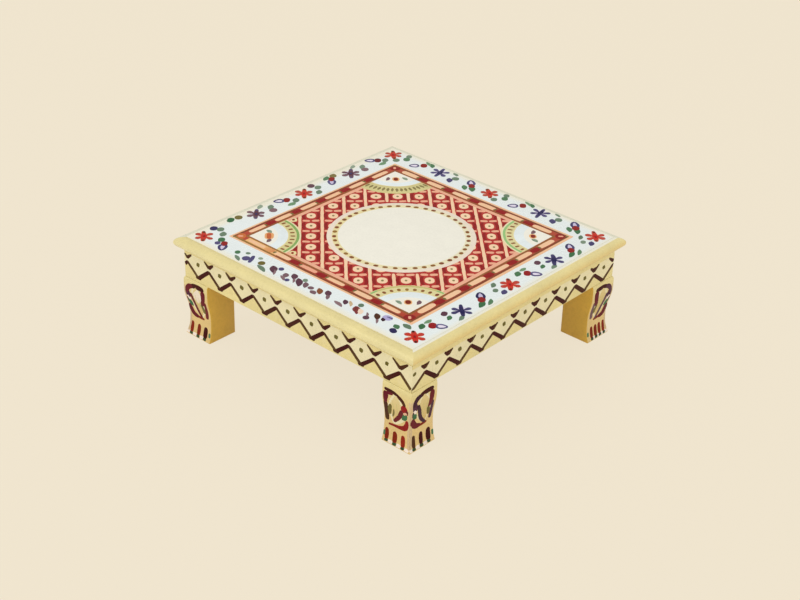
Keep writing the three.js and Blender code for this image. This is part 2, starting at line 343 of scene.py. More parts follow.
class Painting:
    """Raised strokes and patches on one face, in its own directions across, up and out, in millimetres."""

    def __init__(self):
        self.parts = []

    def add(self, rings, tones=0.0, closed=False):
        """Keeps a skin over the rings. A ring's tone moves the paint towards its second colour."""
        points, faces = skin(rings, closed)
        tone = np.broadcast_to(np.asarray(tones, float), rings.shape[0]).repeat(rings.shape[1])
        self.parts.append((points, faces, tone))

    def stroke(
        self, marks, base=0.0, tones=(0.0, 0.0), count=9, closed=False, steady=0.0, blunt=(False, False)
    ):
        """A brush stroke through marks of place and width.

        Its section is a dome: at a share s of the half width it stands the relief times the root of one minus
        s squared. Each end that isn't blunt narrows along a quarter circle. The hand strays at each mark.
        """
        marks = np.array(marks, float)
        strayed = hand.normal(0, PLACE_STRAYS * (1 - steady), (len(marks), 2))
        marks[:, :2] += strayed * (0 if closed else 1)
        marks[:, 2] *= 1 + hand.normal(0, WIDTH_STRAYS)
        line, where, total = flow(marks, count, at_ends=not closed)
        if closed:
            line = line[:-1]
            forward = np.roll(line, -1, axis=0)[:, :2] - np.roll(line, 1, axis=0)[:, :2]
            half = line[:, 2] / 2
        else:
            forward = np.gradient(line[:, :2], axis=0)
            radius = line[:, 2] / 2
            start_gap = radius if blunt[0] else where
            end_gap = radius if blunt[1] else total - where
            end = np.minimum(np.minimum(start_gap, end_gap), radius)
            half = np.sqrt(np.maximum(radius**2 - (radius - end) ** 2, LEAST_SQUARE))
        forward /= np.linalg.norm(forward, axis=1, keepdims=True)
        left = pairs(-forward[:, 1], forward[:, 0])
        sideways = half[:, None, None] * ACROSS[:, None] * left[:, None, :]
        rise = sizes().relief / MM * np.minimum(1, half / FULL_RELIEF_FROM)
        out = np.where(DOME < 0, base - SUNK, base + rise[:, None] * np.maximum(DOME, 0))
        rings = np.concatenate([line[:, None, :2] + sideways, out[..., None]], axis=2)
        tone = np.interp(np.linspace(0, 1, len(line)), [0, 1], tones) + hand.normal(0, TONE_STRAYS)
        self.add(rings, np.clip(tone, 0, 1), closed)

    def dab(self, middle, size, angle=0.0, base=0.0, tone=0.0, count=7):
        """An oval touch of the brush: a short stroke, size long and wide, turned by the angle."""
        reach = size[0] / 2 * np.array([math.cos(angle), math.sin(angle)])
        ends = [(*(np.array(middle) - reach), size[1]), (*(np.array(middle) + reach), size[1])]
        self.stroke(ends, base, (tone, tone), count)

    def leaf(self, middle, size, angle, bend=0.15, base=0.0, tones=(0.0, 0.0), count=8):
        """A leaf: a stroke pointed at both ends and widest before its middle, which bends to its left."""
        along = np.array([math.cos(angle), math.sin(angle)])
        left = np.array([-along[1], along[0]])
        shape = ((-0.5, 0, 0.25), (-0.15, bend, 1), (0.2, bend, 0.85), (0.5, 0, 0.2))
        marks = [(*(np.array(middle) + size[0] * (u * along + v * left)), size[1] * w) for u, v, w in shape]
        self.stroke(marks, base, tones, count)

    def ring(self, middle, radii, width, angle=0.0, base=0.0, tones=(0.0, 0.0), narrow=0.0, count=21):
        """A closed oval line: the ellipse with these radii, with one end drawn in, turned by the angle."""
        turn = np.linspace(0, 2 * math.pi, count)
        x, y = radii[0] * np.cos(turn), radii[1] * np.sin(turn) * (1 + narrow * np.cos(turn))
        marks = np.stack(
            [
                middle[0] + x * math.cos(angle) - y * math.sin(angle),
                middle[1] + x * math.sin(angle) + y * math.cos(angle),
                np.full(count, width),
            ],
            axis=1,
        )
        self.stroke(marks, base, tones, count, closed=True)

    def plate(self, outline, top, ease=0.25, base=0.0, tone=0.0):
        """A flat patch inside an outline given anticlockwise, with its rim eased towards the middle."""
        outline = np.asarray(outline, float)
        middle = outline.mean(axis=0)
        inward = middle - outline
        inner = outline + inward / np.linalg.norm(inward, axis=1, keepdims=True) * ease
        places, levels = (outline, outline, inner), (base - SUNK, top - (top - base) * 0.5, top)
        self.add(np.stack([at_level(*ring) for ring in zip(places, levels)]), tone)

    def band(self, left, right, top, base=0.0, tone=0.0, closed=True):
        """A flat patch between two lines of as many points each, left and right of the way they run."""
        left, right = np.asarray(left, float), np.asarray(right, float)
        over = (right - left) / np.linalg.norm(right - left, axis=1, keepdims=True) * BAND_EASE
        places = (left, left, left + over, right - over, right, right)
        half = top - (top - base) * 0.5
        levels = (base - SUNK, half, top, top, half, base - SUNK)
        rings = [at_level(*ring) for ring in zip(places, levels)]
        self.add(np.stack(rings, axis=1), tone, closed)


def round_square(half, radius):
    """Anticlockwise loop of a square, with a quarter circle about its own centre in each corner."""
    turn = np.linspace(0, math.pi / 2, CORNER_STEPS)
    arcs = []
    for corner in range(4):
        start = corner * math.pi / 2
        angle = turn + start
        diagonal = start + math.pi / 4
        centre = np.sign([math.cos(diagonal), math.sin(diagonal)]) * (half - radius)
        arcs.append(centre + radius * pairs(np.cos(angle), np.sin(angle)))
    return np.concatenate(arcs)


def square_rays(half, count):
    """Points round a square, each on the ray at the angle of the same point of a circle."""
    turn = np.arange(count) * 2 * math.pi / count
    reach = half / np.maximum(np.abs(np.cos(turn)), np.abs(np.sin(turn)))
    return pairs(reach * np.cos(turn), reach * np.sin(turn))


def circle(radius, count):
    """Anticlockwise points of a circle."""
    turn = np.arange(count) * 2 * math.pi / count
    return pairs(radius * np.cos(turn), radius * np.sin(turn))


def board_profile():
    """Pairs of half width and level, from the underside round the nose and over the step to the field.

    The nose is the half ellipse between the underside and the step. The inner corner of the step and the
    edge of the field are quarter circles of the arris.
    """
    arris = sizes().arris / MM
    step_level = BOARD_TOP - QUIRK_DROP
    turn = np.linspace(-math.pi / 2, math.pi / 2, 25)
    nose = pairs(NOSE_CENTRE + NOSE_DEPTH * np.cos(turn), BOARD_UNDERSIDE + NOSE_RISE * (1 + np.sin(turn)))
    quarter = np.linspace(0, math.pi / 2, 5)
    hollow = pairs(FIELD_HALF + arris * (1 - np.sin(quarter)), step_level + arris * (1 - np.cos(quarter)))
    edge = pairs(FIELD_HALF - arris * (1 - np.cos(quarter)), BOARD_TOP - arris * (1 - np.sin(quarter)))
    return np.concatenate([nose, hollow, edge])


def leg_profile():
    """Pairs of outward place and level up a leg's outer face, from the sole to the shoulder.

    The foot and the waist are joined by one cubic Bezier curve, the waist and the lip by a second one that
    is upright at both ends, and the shoulder is a quarter ellipse back to the rails' faces.
    """
    foot, waist, lip = RAIL_FACE + FOOT_PROUD, RAIL_FACE - WAIST_INSET, RAIL_FACE + LIP_PROUD
    shoulder_level = LEG_TOP - SHOULDER_DROP
    lip_level = shoulder_level - LIP_HEIGHT
    bend = (lip_level - WAIST_LEVEL) / 2

    def bezier(corners, count):
        t = np.linspace(0, 1, count)[:, None]
        weights = np.hstack([(1 - t) ** 3, 3 * t * (1 - t) ** 2, 3 * t**2 * (1 - t), t**3])
        return weights @ np.array(corners, float)

    lower = [
        (foot, FOOT_ARRIS),
        (foot - 0.6 * (foot - waist), WAIST_LEVEL * 0.24),
        (waist, WAIST_LEVEL * 0.5),
        (waist, WAIST_LEVEL),
    ]
    upper = [(waist, WAIST_LEVEL), (waist, WAIST_LEVEL + bend), (lip, lip_level - bend), (lip, lip_level)]
    turn = np.linspace(0, math.pi / 2, 10)
    shoulder = pairs(RAIL_FACE + LIP_PROUD * np.cos(turn), shoulder_level + SHOULDER_DROP * np.sin(turn))
    sole = np.array([(foot - FOOT_ARRIS, 0.0), (foot - 0.18 * FOOT_ARRIS, 0.18 * FOOT_ARRIS)])
    return np.concatenate([sole, bezier(lower, 16), bezier(upper, 24)[1:], shoulder])


def corner_loop(outer, inner, radius):
    """Anticlockwise loop of a square that reaches from inner to outer along both x and y."""
    return round_square((outer - inner) / 2, radius) + (outer + inner) / 2


def hole_profile(length):
    """Half profile of a screw's hole about its axis, from the point to past the mouth: radius and depth."""
    grow = SCREW_CLEARANCE
    shank, head = SCREW_RADIUS + grow, SCREW_HEAD_RADIUS + grow
    return np.array(
        [
            (0.02, -length - grow),
            (shank, SCREW_TIP - length - grow),
            (shank, -SCREW_HEAD_HEIGHT - grow),
            (head, -SCREW_RIM - grow),
            (head, 2.0),
        ]
    )


def hole(length, mouth, drive):
    """A closed surface of revolution along the drive, whose head's flat lies sunk below the mouth."""
    radius, depth = hole_profile(length).T
    rounds = radius[:, None, None] * circle(1, HOLE_SIDES)
    levels = np.repeat(depth[:, None, None], HOLE_SIDES, axis=1)
    points, faces = skin(np.concatenate([rounds, levels], axis=2))
    turned = Vector((0, 0, -1)).rotation_difference(Vector(drive)).to_matrix()
    start = np.array(mouth) + SCREW_SUNK * np.array(drive)
    return points @ np.array(turned).T + start, faces


# Meshes


def make_piece(name, parts, finishes):
    """One mesh object on the stool's only body, from parts of points in millimetres, faces and tones."""
    points = np.concatenate([part[0] for part in parts])
    starts = np.cumsum([0] + [len(part[0]) for part in parts])
    faces = [[corner + start for corner in face] for part, start in zip(parts, starts) for face in part[1]]
    mesh = bpy.data.meshes.new(name)
    mesh.from_pydata((points * MM).tolist(), [], faces)
    tone = mesh.attributes.new("tone", "FLOAT", "POINT")
    tone.data.foreach_set("value", np.concatenate([part[2] for part in parts]).astype(np.float32))
    for finish in finishes:
        mesh.materials.append(finish)
    piece = bpy.data.objects.new(name, mesh)
    bpy.context.scene.collection.objects.link(piece)
    smooth(mesh)
    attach(piece, "root")
    return piece


def smooth(mesh):
    """Shades a mesh smoothly, apart from its sharp edges."""
    mesh.polygons.foreach_set("use_smooth", np.ones(len(mesh.polygons), bool))
    mesh.set_sharp_from_angle(angle=SHARP_FROM)
    mesh.update()


def drill(piece, holes):
    """Cuts closed surfaces out of a piece by an exact Boolean, and keeps the result as its own mesh."""
    cutters = []
    for points, faces in holes:
        mesh = bpy.data.meshes.new("cutter")
        mesh.from_pydata((points * MM).tolist(), [], faces)
        cutter = bpy.data.objects.new("cutter", mesh)
        bpy.context.scene.collection.objects.link(cutter)
        cut = piece.modifiers.new("cut", "BOOLEAN")
        cut.operation, cut.solver, cut.object = "DIFFERENCE", "EXACT", cutter
        cutters.append(cutter)
    bpy.context.view_layer.update()
    shown = piece.evaluated_get(bpy.context.evaluated_depsgraph_get())
    before = piece.data
    mesh = bpy.data.meshes.new_from_object(shown)
    piece.modifiers.clear()
    piece.data = mesh
    bpy.data.meshes.remove(before)
    mesh.name = piece.name
    for cutter in cutters:
        bpy.data.objects.remove(cutter)
    smooth(mesh)


def face_places(mesh):
    """Middles in millimetres and normals of a mesh's faces."""
    count = len(mesh.polygons)
    middles, normals = np.zeros(count * 3), np.zeros(count * 3)
    mesh.polygons.foreach_get("center", middles)
    mesh.polygons.foreach_get("normal", normals)
    return middles.reshape(-1, 3) / MM, normals.reshape(-1, 3)


def mirrored(points, faces, sx, sy):
    """A copy on the far side of the middle planes, with its faces turned outwards again."""
    turned = points * np.array([sx, sy, 1])
    return turned, faces if sx * sy > 0 else [face[::-1] for face in faces]


def drawn_in(points, ranges):
    """One touch of paint, pressed together along each axis where it would leave the range of its face.

    Every distance from the touch's own far side is divided by the largest share of the room that any point
    takes, where that share is above one. A limit is one number, or one for each point.
    """
    points = points.copy()
    for axis, (low, high) in enumerate(ranges):
        for way, limit in ((-1, -low), (1, high)):
            places = way * points[:, axis]
            near = places.min()
            room = limit - near
            if np.min(room) > 0:
                points[:, axis] = way * (near + (places - near) / max(1, np.max((places - near) / room)))
    return points


def on_top(points):
    """Flat coordinates laid on the board's top, inside the edge of its field."""
    limit = FIELD_HALF - RIM_LEFT_CLEAR
    return drawn_in(points, ((-limit, limit), (-limit, limit))) + np.array([0, 0, BOARD_TOP])


def on_rail(side):
    """Flat coordinates laid on the outer face of a rail: the front one, turned by quarter turns."""
    angle = side * math.pi / 2

    def lay(points):
        corner = RAIL_FACE + CORNER_LAP
        points = drawn_in(points, ((-corner, corner), (RAIL_BOTTOM + RIM_LEFT_CLEAR, RAIL_TOP)))
        x, y = points[:, 0], -(RAIL_FACE + points[:, 2])
        c, s = math.cos(angle), math.sin(angle)
        return np.stack([c * x - s * y, s * x + c * y, points[:, 1]], axis=1)

    return lay


def laid(painting, place, flip=False):
    """A painting's parts in the stool's own space, turned over where the place mirrors them."""
    order = -1 if flip else 1
    return [
        (place(points), [face[::order] for face in faces], tone) for points, faces, tone in painting.parts
    ]


# Finishes


def node(tree, kind, inputs=None, **settings):
    """Adds a node, sets its properties, and links or sets its inputs."""
    made = tree.nodes.new(kind)
    for key, value in settings.items():
        setattr(made, key, value)
    for key, value in (inputs or {}).items():
        if isinstance(value, bpy.types.NodeSocket):
            tree.links.new(value, made.inputs[key])
        else:
            made.inputs[key].default_value = value
    return made


def reckon(tree, operation, *values):
    """One step of arithmetic."""
    return node(tree, "ShaderNodeMath", dict(enumerate(values)), operation=operation).outputs[0]


def blend(tree, share, first, second):
    """Mixes two colours by a share."""
    return node(tree, "ShaderNodeMix", {0: share, 6: first, 7: second}, data_type="RGBA").outputs[2]


def spread(tree, value, low, high, start=0.0, end=1.0):
    """Maps a value from one range to another, held at its ends."""
    return node(tree, "ShaderNodeMapRange", {0: value, 1: start, 2: end, 3: low, 4: high}).outputs[0]


def noise(tree, place, scale, detail=3.0, rough=0.55, warp=0.0):
    """Smooth noise over a place, with the scale in features to a metre."""
    inputs = {"Vector": place, "Scale": scale, "Detail": detail, "Roughness": rough, "Distortion": warp}
    return node(tree, "ShaderNodeTexNoise", inputs).outputs["Fac"]


def stretched(tree, place, scale):
    """A place scaled by a different amount along each axis."""
    return node(tree, "ShaderNodeMapping", {"Vector": place, "Scale": scale}).outputs["Vector"]


def new_finish(name):
    """An empty material with its shader and Object coordinates."""
    material = bpy.data.materials.new(name)
    material.use_nodes = True
    tree = material.node_tree
    tree.nodes.clear()
    shader = node(tree, "ShaderNodeBsdfPrincipled")
    out = node(tree, "ShaderNodeOutputMaterial")
    tree.links.new(shader.outputs[0], out.inputs[0])
    place = node(tree, "ShaderNodeTexCoord").outputs["Object"]
    return material, tree, shader, place


def set_bump(tree, shader, height, strength, distance):
    """Puts a height on the shader's normal."""
    bump = node(tree, "ShaderNodeBump", {"Height": height, "Strength": strength, "Distance": distance})
    tree.links.new(bump.outputs[0], shader.inputs["Normal"])


def dress(tree, shader, colour, gloss, constants):
    """Links a colour and a gloss to the shader, and sets its constant inputs."""
    tree.links.new(colour, shader.inputs["Base Color"])
    tree.links.new(gloss, shader.inputs["Roughness"])
    for key, value in constants.items():
        shader.inputs[key].default_value = value


def shade(colour, amount):
    """A colour made lighter or darker by a factor."""
    return tuple(min(1.0, c * amount) for c in colour)


def enamel(name, colour, second, cloud):
    """Hand-laid enamel: uneven in depth from cloudy noise, moved to a second colour by the stroke's tone.

    Fine drag marks of the brush show in its colour, its bump and its gloss.
    """
    material, tree, shader, place = new_finish(name)
    clouds = noise(tree, place, 55, 4, 0.6)
    ground = blend(tree, clouds, linear(shade(colour, 1 - cloud)), linear(shade(colour, 1 + cloud)))
    if second is not None:
        tone = node(tree, "ShaderNodeAttribute", attribute_name="tone").outputs["Fac"]
        ground = blend(tree, tone, ground, linear(second))
    drag = noise(tree, place, 520, 3, 0.6, 0.4)
    grain = noise(tree, place, 1900, 2, 0.5)
    ground = blend(tree, spread(tree, drag, 0, 0.10, 0.35, 0.75), ground, linear(shade(colour, 0.72)))
    dress(tree, shader, ground, spread(tree, drag, 0.32, 0.52), {"Specular IOR Level": 0.08})
    set_bump(tree, shader, reckon(tree, "ADD", drag, grain), 0.22, 0.00025)
    return material


def outermost(tree, place, ragged):
    """How far out from the middle planes a place lies, made uneven by noise."""
    sides = node(tree, "ShaderNodeSeparateXYZ", {0: place})
    outer = reckon(tree, "MAXIMUM", *(reckon(tree, "ABSOLUTE", sides.outputs[i]) for i in (0, 1)))
    uneven = spread(tree, noise(tree, place, 160, 3), -ragged, ragged)
    return reckon(tree, "ADD", outer, uneven)


def field_finish(name, colour, rim):
    """Glossy white enamel that turns to cream towards the edge of the field."""
    material, tree, shader, place = new_finish(name)
    clouds = noise(tree, place, 55, 4, 0.6)
    ground = blend(tree, clouds, linear(shade(colour, 0.985)), linear(shade(colour, 1.015)))
    shifted = node(tree, "ShaderNodeVectorMath", {0: place, 1: (-ENAMEL_LAP * MM, 0, 0)}).outputs[0]
    rim_starts, rim_whole = (FIELD_HALF - 8) * MM, (FIELD_HALF - 0.5) * MM
    share = spread(tree, outermost(tree, shifted, 0.002), 0, 1, rim_starts, rim_whole)
    base = blend(tree, share, ground, linear(rim))
    drag = noise(tree, place, 420, 3, 0.6, 0.4)
    dress(tree, shader, base, spread(tree, drag, 0.18, 0.36), {"Specular IOR Level": 0.45})
    set_bump(tree, shader, drag, 0.08, 0.0002)
    return material


def gold_nodes(tree, place, colour):
    """Pale gold paint: cloudy colour, darker drag marks and paler pores. Gives colour, gloss and height."""
    clouds = noise(tree, place, 38, 5, 0.62)
    fine = noise(tree, place, 420, 4, 0.6, 0.3)
    pores = noise(tree, place, 1500, 2, 0.5)
    base = blend(tree, clouds, linear(shade(colour, 0.93)), linear(shade(colour, 1.05)))
    base = blend(tree, spread(tree, fine, 0, 0.22, 0.45, 0.8), base, linear(shade(colour, 0.74)))
    base = blend(tree, spread(tree, pores, 0, 0.25, 0.6, 0.75), base, linear(shade(colour, 1.14)))
    return base, spread(tree, fine, 0.34, 0.52), reckon(tree, "ADD", fine, pores)


def gold_finish(name, colour, low=None, span=LEG_GOLD_SPAN):
    """Pale gold paint on its own, or turning downwards between two levels to a second colour: a deeper gold
    on the legs, and on the board's edge a painted reflection or a painted shade.
    """
    material, tree, shader, place = new_finish(name)
    base, gloss, height = gold_nodes(tree, place, colour)
    if low is not None:
        level = node(tree, "ShaderNodeSeparateXYZ", {0: place}).outputs[2]
        deep = gold_nodes(tree, place, low)[0]
        base = blend(tree, spread(tree, level, 0, 1, span[0] * MM, span[1] * MM), deep, base)
    dress(tree, shader, base, gloss, {"Metallic": 0.08, "Coat Weight": 0.2, "Coat Roughness": 0.25})
    set_bump(tree, shader, height, 0.22, 0.0003)
    return material


def grain_nodes(tree, place, colour, along):
    """Planed softwood: rings stretched along the grain, with fine darker fibres. Gives colour and height."""
    pull = {"x": (0.12, 1, 1), "y": (1, 0.12, 1), "z": (1, 1, 0.12)}[along]
    pulled = stretched(tree, place, pull)
    rings = noise(tree, pulled, 130, 4, 0.55, 1.2)
    fibres = noise(tree, stretched(tree, place, tuple(p * p for p in pull)), 1500, 2, 0.6)
    dark, light = linear(shade(colour, 0.80)), linear(shade(colour, 1.10))
    base = blend(tree, spread(tree, rings, 0, 1, 0.35, 0.65), dark, light)
    base = blend(tree, spread(tree, fibres, 0, 0.35, 0.5, 0.75), base, linear(shade(colour, 0.62)))
    return base, fibres


def wood_finish(name, colour, along):
    """Bare planed wood."""
    material, tree, shader, place = new_finish(name)
    base, fibres = grain_nodes(tree, place, colour, along)
    dress(tree, shader, base, spread(tree, fibres, 0.62, 0.82), {})
    set_bump(tree, shader, fibres, 0.35, 0.0004)
    return material


def rail_finish(name, paint, wood, along):
    """Gold on the outer face, lapping unevenly over the lower edge, and bare wood behind."""
    material, tree, shader, place = new_finish(name)
    gold, gloss, height = gold_nodes(tree, place, paint)
    bare, _ = grain_nodes(tree, place, wood, along)
    limit = (RAIL_FACE - GOLD_LAP) * MM
    share = spread(tree, outermost(tree, place, 0.003), 0, 1, limit - 0.0004, limit + 0.0004)
    rough = node(tree, "ShaderNodeMix", {0: share, 2: 0.72, 3: gloss}).outputs[0]
    dress(tree, shader, blend(tree, share, bare, gold), rough, {})
    set_bump(tree, shader, height, 0.3, 0.0003)
    return material


def zinc_finish(name, colour):
    """Zinc plating: bright metal, turned marks and dull spots."""
    material, tree, shader, place = new_finish(name)
    spots = noise(tree, place, 700, 4, 0.65)
    marks = noise(tree, stretched(tree, place, (1, 1, 6)), 900, 2)
    base = blend(tree, spots, linear(shade(colour, 0.80)), linear(shade(colour, 1.10)))
    dress(tree, shader, base, spread(tree, spots, 0.28, 0.5), {"Metallic": 1.0})
    set_bump(tree, shader, marks, 0.2, 0.0001)
    return material


# The colour that a stroke's tone moves each paint to
SECOND_COLOURS = {
    "vermilion": (0.660, 0.350, 0.280),
    "indigo": (0.400, 0.380, 0.560),
    "green": (0.450, 0.590, 0.450),
    "sage": (0.570, 0.640, 0.560),
    "plum": (0.540, 0.430, 0.450),
    "crimson": (0.500, 0.170, 0.120),
    "rust": (0.850, 0.520, 0.220),
    "peach": (0.935, 0.730, 0.560),
    "salmon": (0.900, 0.740, 0.620),
    "russet": (0.600, 0.450, 0.210),
    "olive": (0.570, 0.520, 0.340),
    "orange": (0.950, 0.750, 0.500),
    "maroon": (0.400, 0.320, 0.160),
    "wine": (0.500, 0.200, 0.200),
    "umber": (0.650, 0.160, 0.110),
    "aubergine": (0.400, 0.260, 0.340),
    "lime": (0.600, 0.790, 0.520),
    "ivory": (0.930, 0.900, 0.760),
    "straw": (0.900, 0.840, 0.600),
    "khaki": (0.885, 0.845, 0.640),
    "leaf_gold": (0.895, 0.840, 0.640),
    "lavender": (0.900, 0.870, 0.930),
    "blush": (0.930, 0.800, 0.680),
    "dun": (0.860, 0.770, 0.620),
    "pine": (0.330, 0.440, 0.300),
}


def paint_pot(colour_name):
    """The enamel of one paint, made once, with the colour that its tone moves it to."""
    known = bpy.data.materials.get(f"{colour_name}_enamel")
    if known:
        return known
    cloud = 0.02 if colour_name in ("cream", "halo") else 0.05
    colour = tuple(getattr(paints(), colour_name))
    return enamel(f"{colour_name}_enamel", colour, SECOND_COLOURS.get(colour_name), cloud)


# The board, the legs and what holds them


class STOOL_OT_board(bpy.types.Operator):
    """Board: the moulded profile carried round a square, with blind holes over the cleats"""

    bl_idname = "stool.board"
    bl_label = "Board"

    def execute(self, context):
        loops = [at_level(round_square(half, BOARD_CORNER), level) for half, level in board_profile()]
        points, faces = skin(np.stack(loops))
        pots = paints()
        finishes = [
            field_finish("field_enamel", tuple(pots.white), tuple(pots.field_rim)),
            # On the front, and low on the left and back, the gold turns paler below: a painted reflection of
            # the floor
            gold_finish("edge_gold", tuple(pots.gold), tuple(pots.front_edge_reflection), EDGE_LIGHT_SPAN),
            wood_finish("underside_wood", tuple(pots.wood), "x"),
            # Painted shade: the hollow of the step is a shade darker than the gold
            gold_finish("hollow_gold", shade(tuple(pots.gold), 0.97)),
            # Painted reflection: a paler gold on the upper halves of the left and back edges
            gold_finish("far_edge", tuple(pots.far_edge)),
            # Painted shade: the right edge's gold turns darker below
            gold_finish("right_edge_gold", tuple(pots.gold), tuple(pots.right_edge), EDGE_LIGHT_SPAN),
        ]
        field, edge, underside, hollow, far_edge, right_edge = range(len(finishes))
        parts = [(points, faces, np.zeros(len(points)))]
        board = make_piece("painted_board", parts, finishes)
        mouths = [
            (-CLEAT_SCREW_ACROSS, -CLEAT_MIDDLE),
            (CLEAT_MIDDLE, -CLEAT_SCREW_ACROSS),
            (CLEAT_SCREW_ACROSS, CLEAT_MIDDLE),
            (-CLEAT_MIDDLE, CLEAT_SCREW_ACROSS),
        ]
        drill(board, [hole(CLEAT_SCREW_LENGTH, (x, y, CLEAT_BOTTOM), (0, 0, 1)) for x, y in mouths])
        middles, _ = face_places(board.data)
        x, y, level = middles.T
        reach = np.maximum(np.abs(x), np.abs(y))
        step_level = BOARD_TOP - QUIRK_DROP
        index = np.where((reach < FIELD_HALF + 0.02) & (level > step_level), field, edge)
        index[(reach < NOSE_CENTRE) & (level < BOARD_TOP - BOARD_THICKNESS / 2)] = underside
        # the step's hollow takes its painted shade
        index[(index == edge) & (reach < NOSE_CENTRE) & (level > step_level - 0.05)] = hollow
        # The upper halves of the left and back edges take the painted reflection
        far = (np.maximum(-x, y) > reach - 0.01) & (level > BOARD_UNDERSIDE + NOSE_RISE)
        index[far & ((index == edge) | (index == hollow))] = far_edge
        # The right edge takes its painted shade below, and the field's enamel over its step
        right = x > reach - 0.01
        index[right & (index == edge)] = right_edge
        index[right & (reach < FIELD_HALF + ENAMEL_LAP) & (level > BOARD_TOP - 2)] = field
        board.data.polygons.foreach_set("material_index", index.astype(np.int32))
        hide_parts("top_board")
        return {"FINISHED"}


class STOOL_OT_legs(bpy.types.Operator):
    """Legs: square loops carried up the waisted profile, with the post on top and its screw holes"""

    bl_idname = "stool.legs"
    bl_label = "Legs"

    def execute(self, context):
        arris = sizes().leg_arris / MM
        loops = [(corner_loop(outer, LEG_INNER, arris), level) for outer, level in leg_profile()]
        loops += [(corner_loop(POST_OUTER, LEG_INNER, arris), level) for level in (LEG_TOP, RAIL_TOP)]
        points, faces = skin(np.stack([at_level(*loop) for loop in loops]))
        cuts = [
            hole(LEG_SCREW_LENGTH, (LEG_INNER, POST_CENTRE, LOWER_SCREW_LEVEL), (1, 0, 0)),
            hole(LEG_SCREW_LENGTH, (POST_CENTRE, LEG_INNER, UPPER_SCREW_LEVEL), (0, 1, 0)),
        ]
        pots = paints()
        finishes = [
            gold_finish("leg_gold", tuple(pots.gold), tuple(pots.leg_gold)),
            gold_finish("inner_gold", tuple(pots.deep_gold)),
            wood_finish("post_wood", tuple(pots.wood), "z"),
        ]
        out_face, in_face, bare = range(len(finishes))
        for corner, sx, sy in CORNERS:
            placed = mirrored(points, faces, sx, sy)
            parts = [(*placed, np.zeros(len(points)))]
            leg = make_piece(f"waisted_leg_{corner}", parts, finishes)
            drill(leg, [mirrored(*cut, sx, sy) for cut in cuts])
            middles, normals = face_places(leg.data)
            facing_in = (normals[:, 0] * sx < -0.6) | (normals[:, 1] * sy < -0.6)
            index = np.where(facing_in, in_face, out_face)
            index[(middles[:, 2] > LEG_TOP + 0.1) | (normals[:, 2] < -0.9)] = bare
            leg.data.polygons.foreach_set("material_index", index.astype(np.int32))
            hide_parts(f"leg_{corner}")
        return {"FINISHED"}


class STOOL_OT_joinery(bpy.types.Operator):
    """Rails, cleats and screws: finishes for the frame's own pieces"""

    bl_idname = "stool.joinery"
    bl_label = "Rails, cleats and screws"

    def execute(self, context):
        pots = paints()
        gold, wood = tuple(pots.gold), tuple(pots.wood)
        zinc = zinc_finish("zinc_plate", tuple(pots.zinc))
        across = {"front": "x", "back": "x", "left": "y", "right": "y"}
        for side, along in across.items():
            finishes = {
                f"rail_{side}": rail_finish(f"rail_{side}_gold", gold, wood, along),
                f"cleat_{side}": wood_finish(f"cleat_{side}_wood", shade(wood, 0.94), along),
            }
            for name, finish in finishes.items():
                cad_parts[name].material_slots[0].material = finish
        for name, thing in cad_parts.items():
            if "_screw_" in name:
                thing.material_slots[0].material = zinc
        return {"FINISHED"}


# The painted top


def make_painted(prefix, parts):
    """One piece for each paint, in the order in which the paints were first used."""
    for colour_name, placed in parts.items():
        make_piece(f"{prefix}_{colour_name}", placed, [paint_pot(colour_name)])


def make_on_top(prefix, pots):
    """The painted pieces of one group on the board's top."""
    parts = {colour_name: laid(painting, on_top) for colour_name, painting in pots.items()}
    make_painted(prefix, parts)


def far_tone(x, y):
    """Flowers near the front right corner are deep, and those at the far left are paler."""
    return min(1.0, max(0.0, (y - x + FLOWER_SPREAD) / (2 * FLOWER_SPREAD)))


def star(pots, names, x, y, lean=SLANT):
    """Six petals on a pale wash: two that narrow outwards along the lean, and four that widen."""
    petal, tip, wash = names
    reach = sizes().star_radius / MM
    tone = far_tone(x, y)
    middle = np.array([x, y]) + hand.normal(0, 0.4, 2)
    turn = np.array([[math.cos(lean), math.sin(lean)], [-math.sin(lean), math.cos(lean)]])
    pots[wash].plate(middle + (circle(1, 24) * (7.0, 5.8)) @ turn, 0.03, 0.4, tone=0.9)
    fine = 0.84 if petal == "indigo" else 1.0
    for step in range(6):
        angle = lean + step * math.pi / 3 + hand.normal(0, 0.06)
        along = np.array([math.cos(angle), math.sin(angle)]) * reach * (1 + hand.normal(0, 0.05))
        if step % 3:
            spots = ((0.15, 2.1), (0.5, 4.0), (0.8, 5.7), (1.06, 4.4))
            tones = (tone * 0.3, min(1, 0.5 + tone * 0.5))
        else:
            spots = ((0.0, 5.2), (0.55, 4.8), (1.16, 3.4))
            tones = (0, 0.25 + tone * 0.5)
            pots[tip].dab(middle + 0.92 * along, (3.6, 2.8), angle, 0.07, 0.15 + tone * 0.5)
        pots[petal].stroke([(*(middle + u * along), w * fine) for u, w in spots], 0.03, tones)
    pots[petal].dab(middle, (7.4 * fine, 6.2 * fine), lean, 0.06, 0, 9)
    pots["crimson" if tip == "maroon" else tip].dab(middle, (4.0, 3.0), lean, 0.1, tone * 0.3, 8)


def bud(pots, cup, loop, red="crimson", short=False):
    """A bud: an open loop that is drawn in at its far end, and a slanting cup at its foot."""
    cup, loop = np.array(cup, float), np.array(loop, float)
    lean = math.atan2(*(cup - loop)[::-1])
    tone = far_tone(*cup)
    reach, line = (4.5, 2.3) if short else (5.1, 2.7)
    pots["lavender"].dab(loop, (reach * 1.7, 4.8), lean, 0, 1.0 if short else 0.6, 9)
    tones = (0.4, 0.9) if short else (tone, tone * 0.6)
    pots["indigo"].ring(loop, (reach, 3.1), line, lean, 0.03, tones, 0.35)
    pots[red].dab(cup, (9.8, 6.7), SLANT - 0.1, 0.04, tone * 0.4, 10)


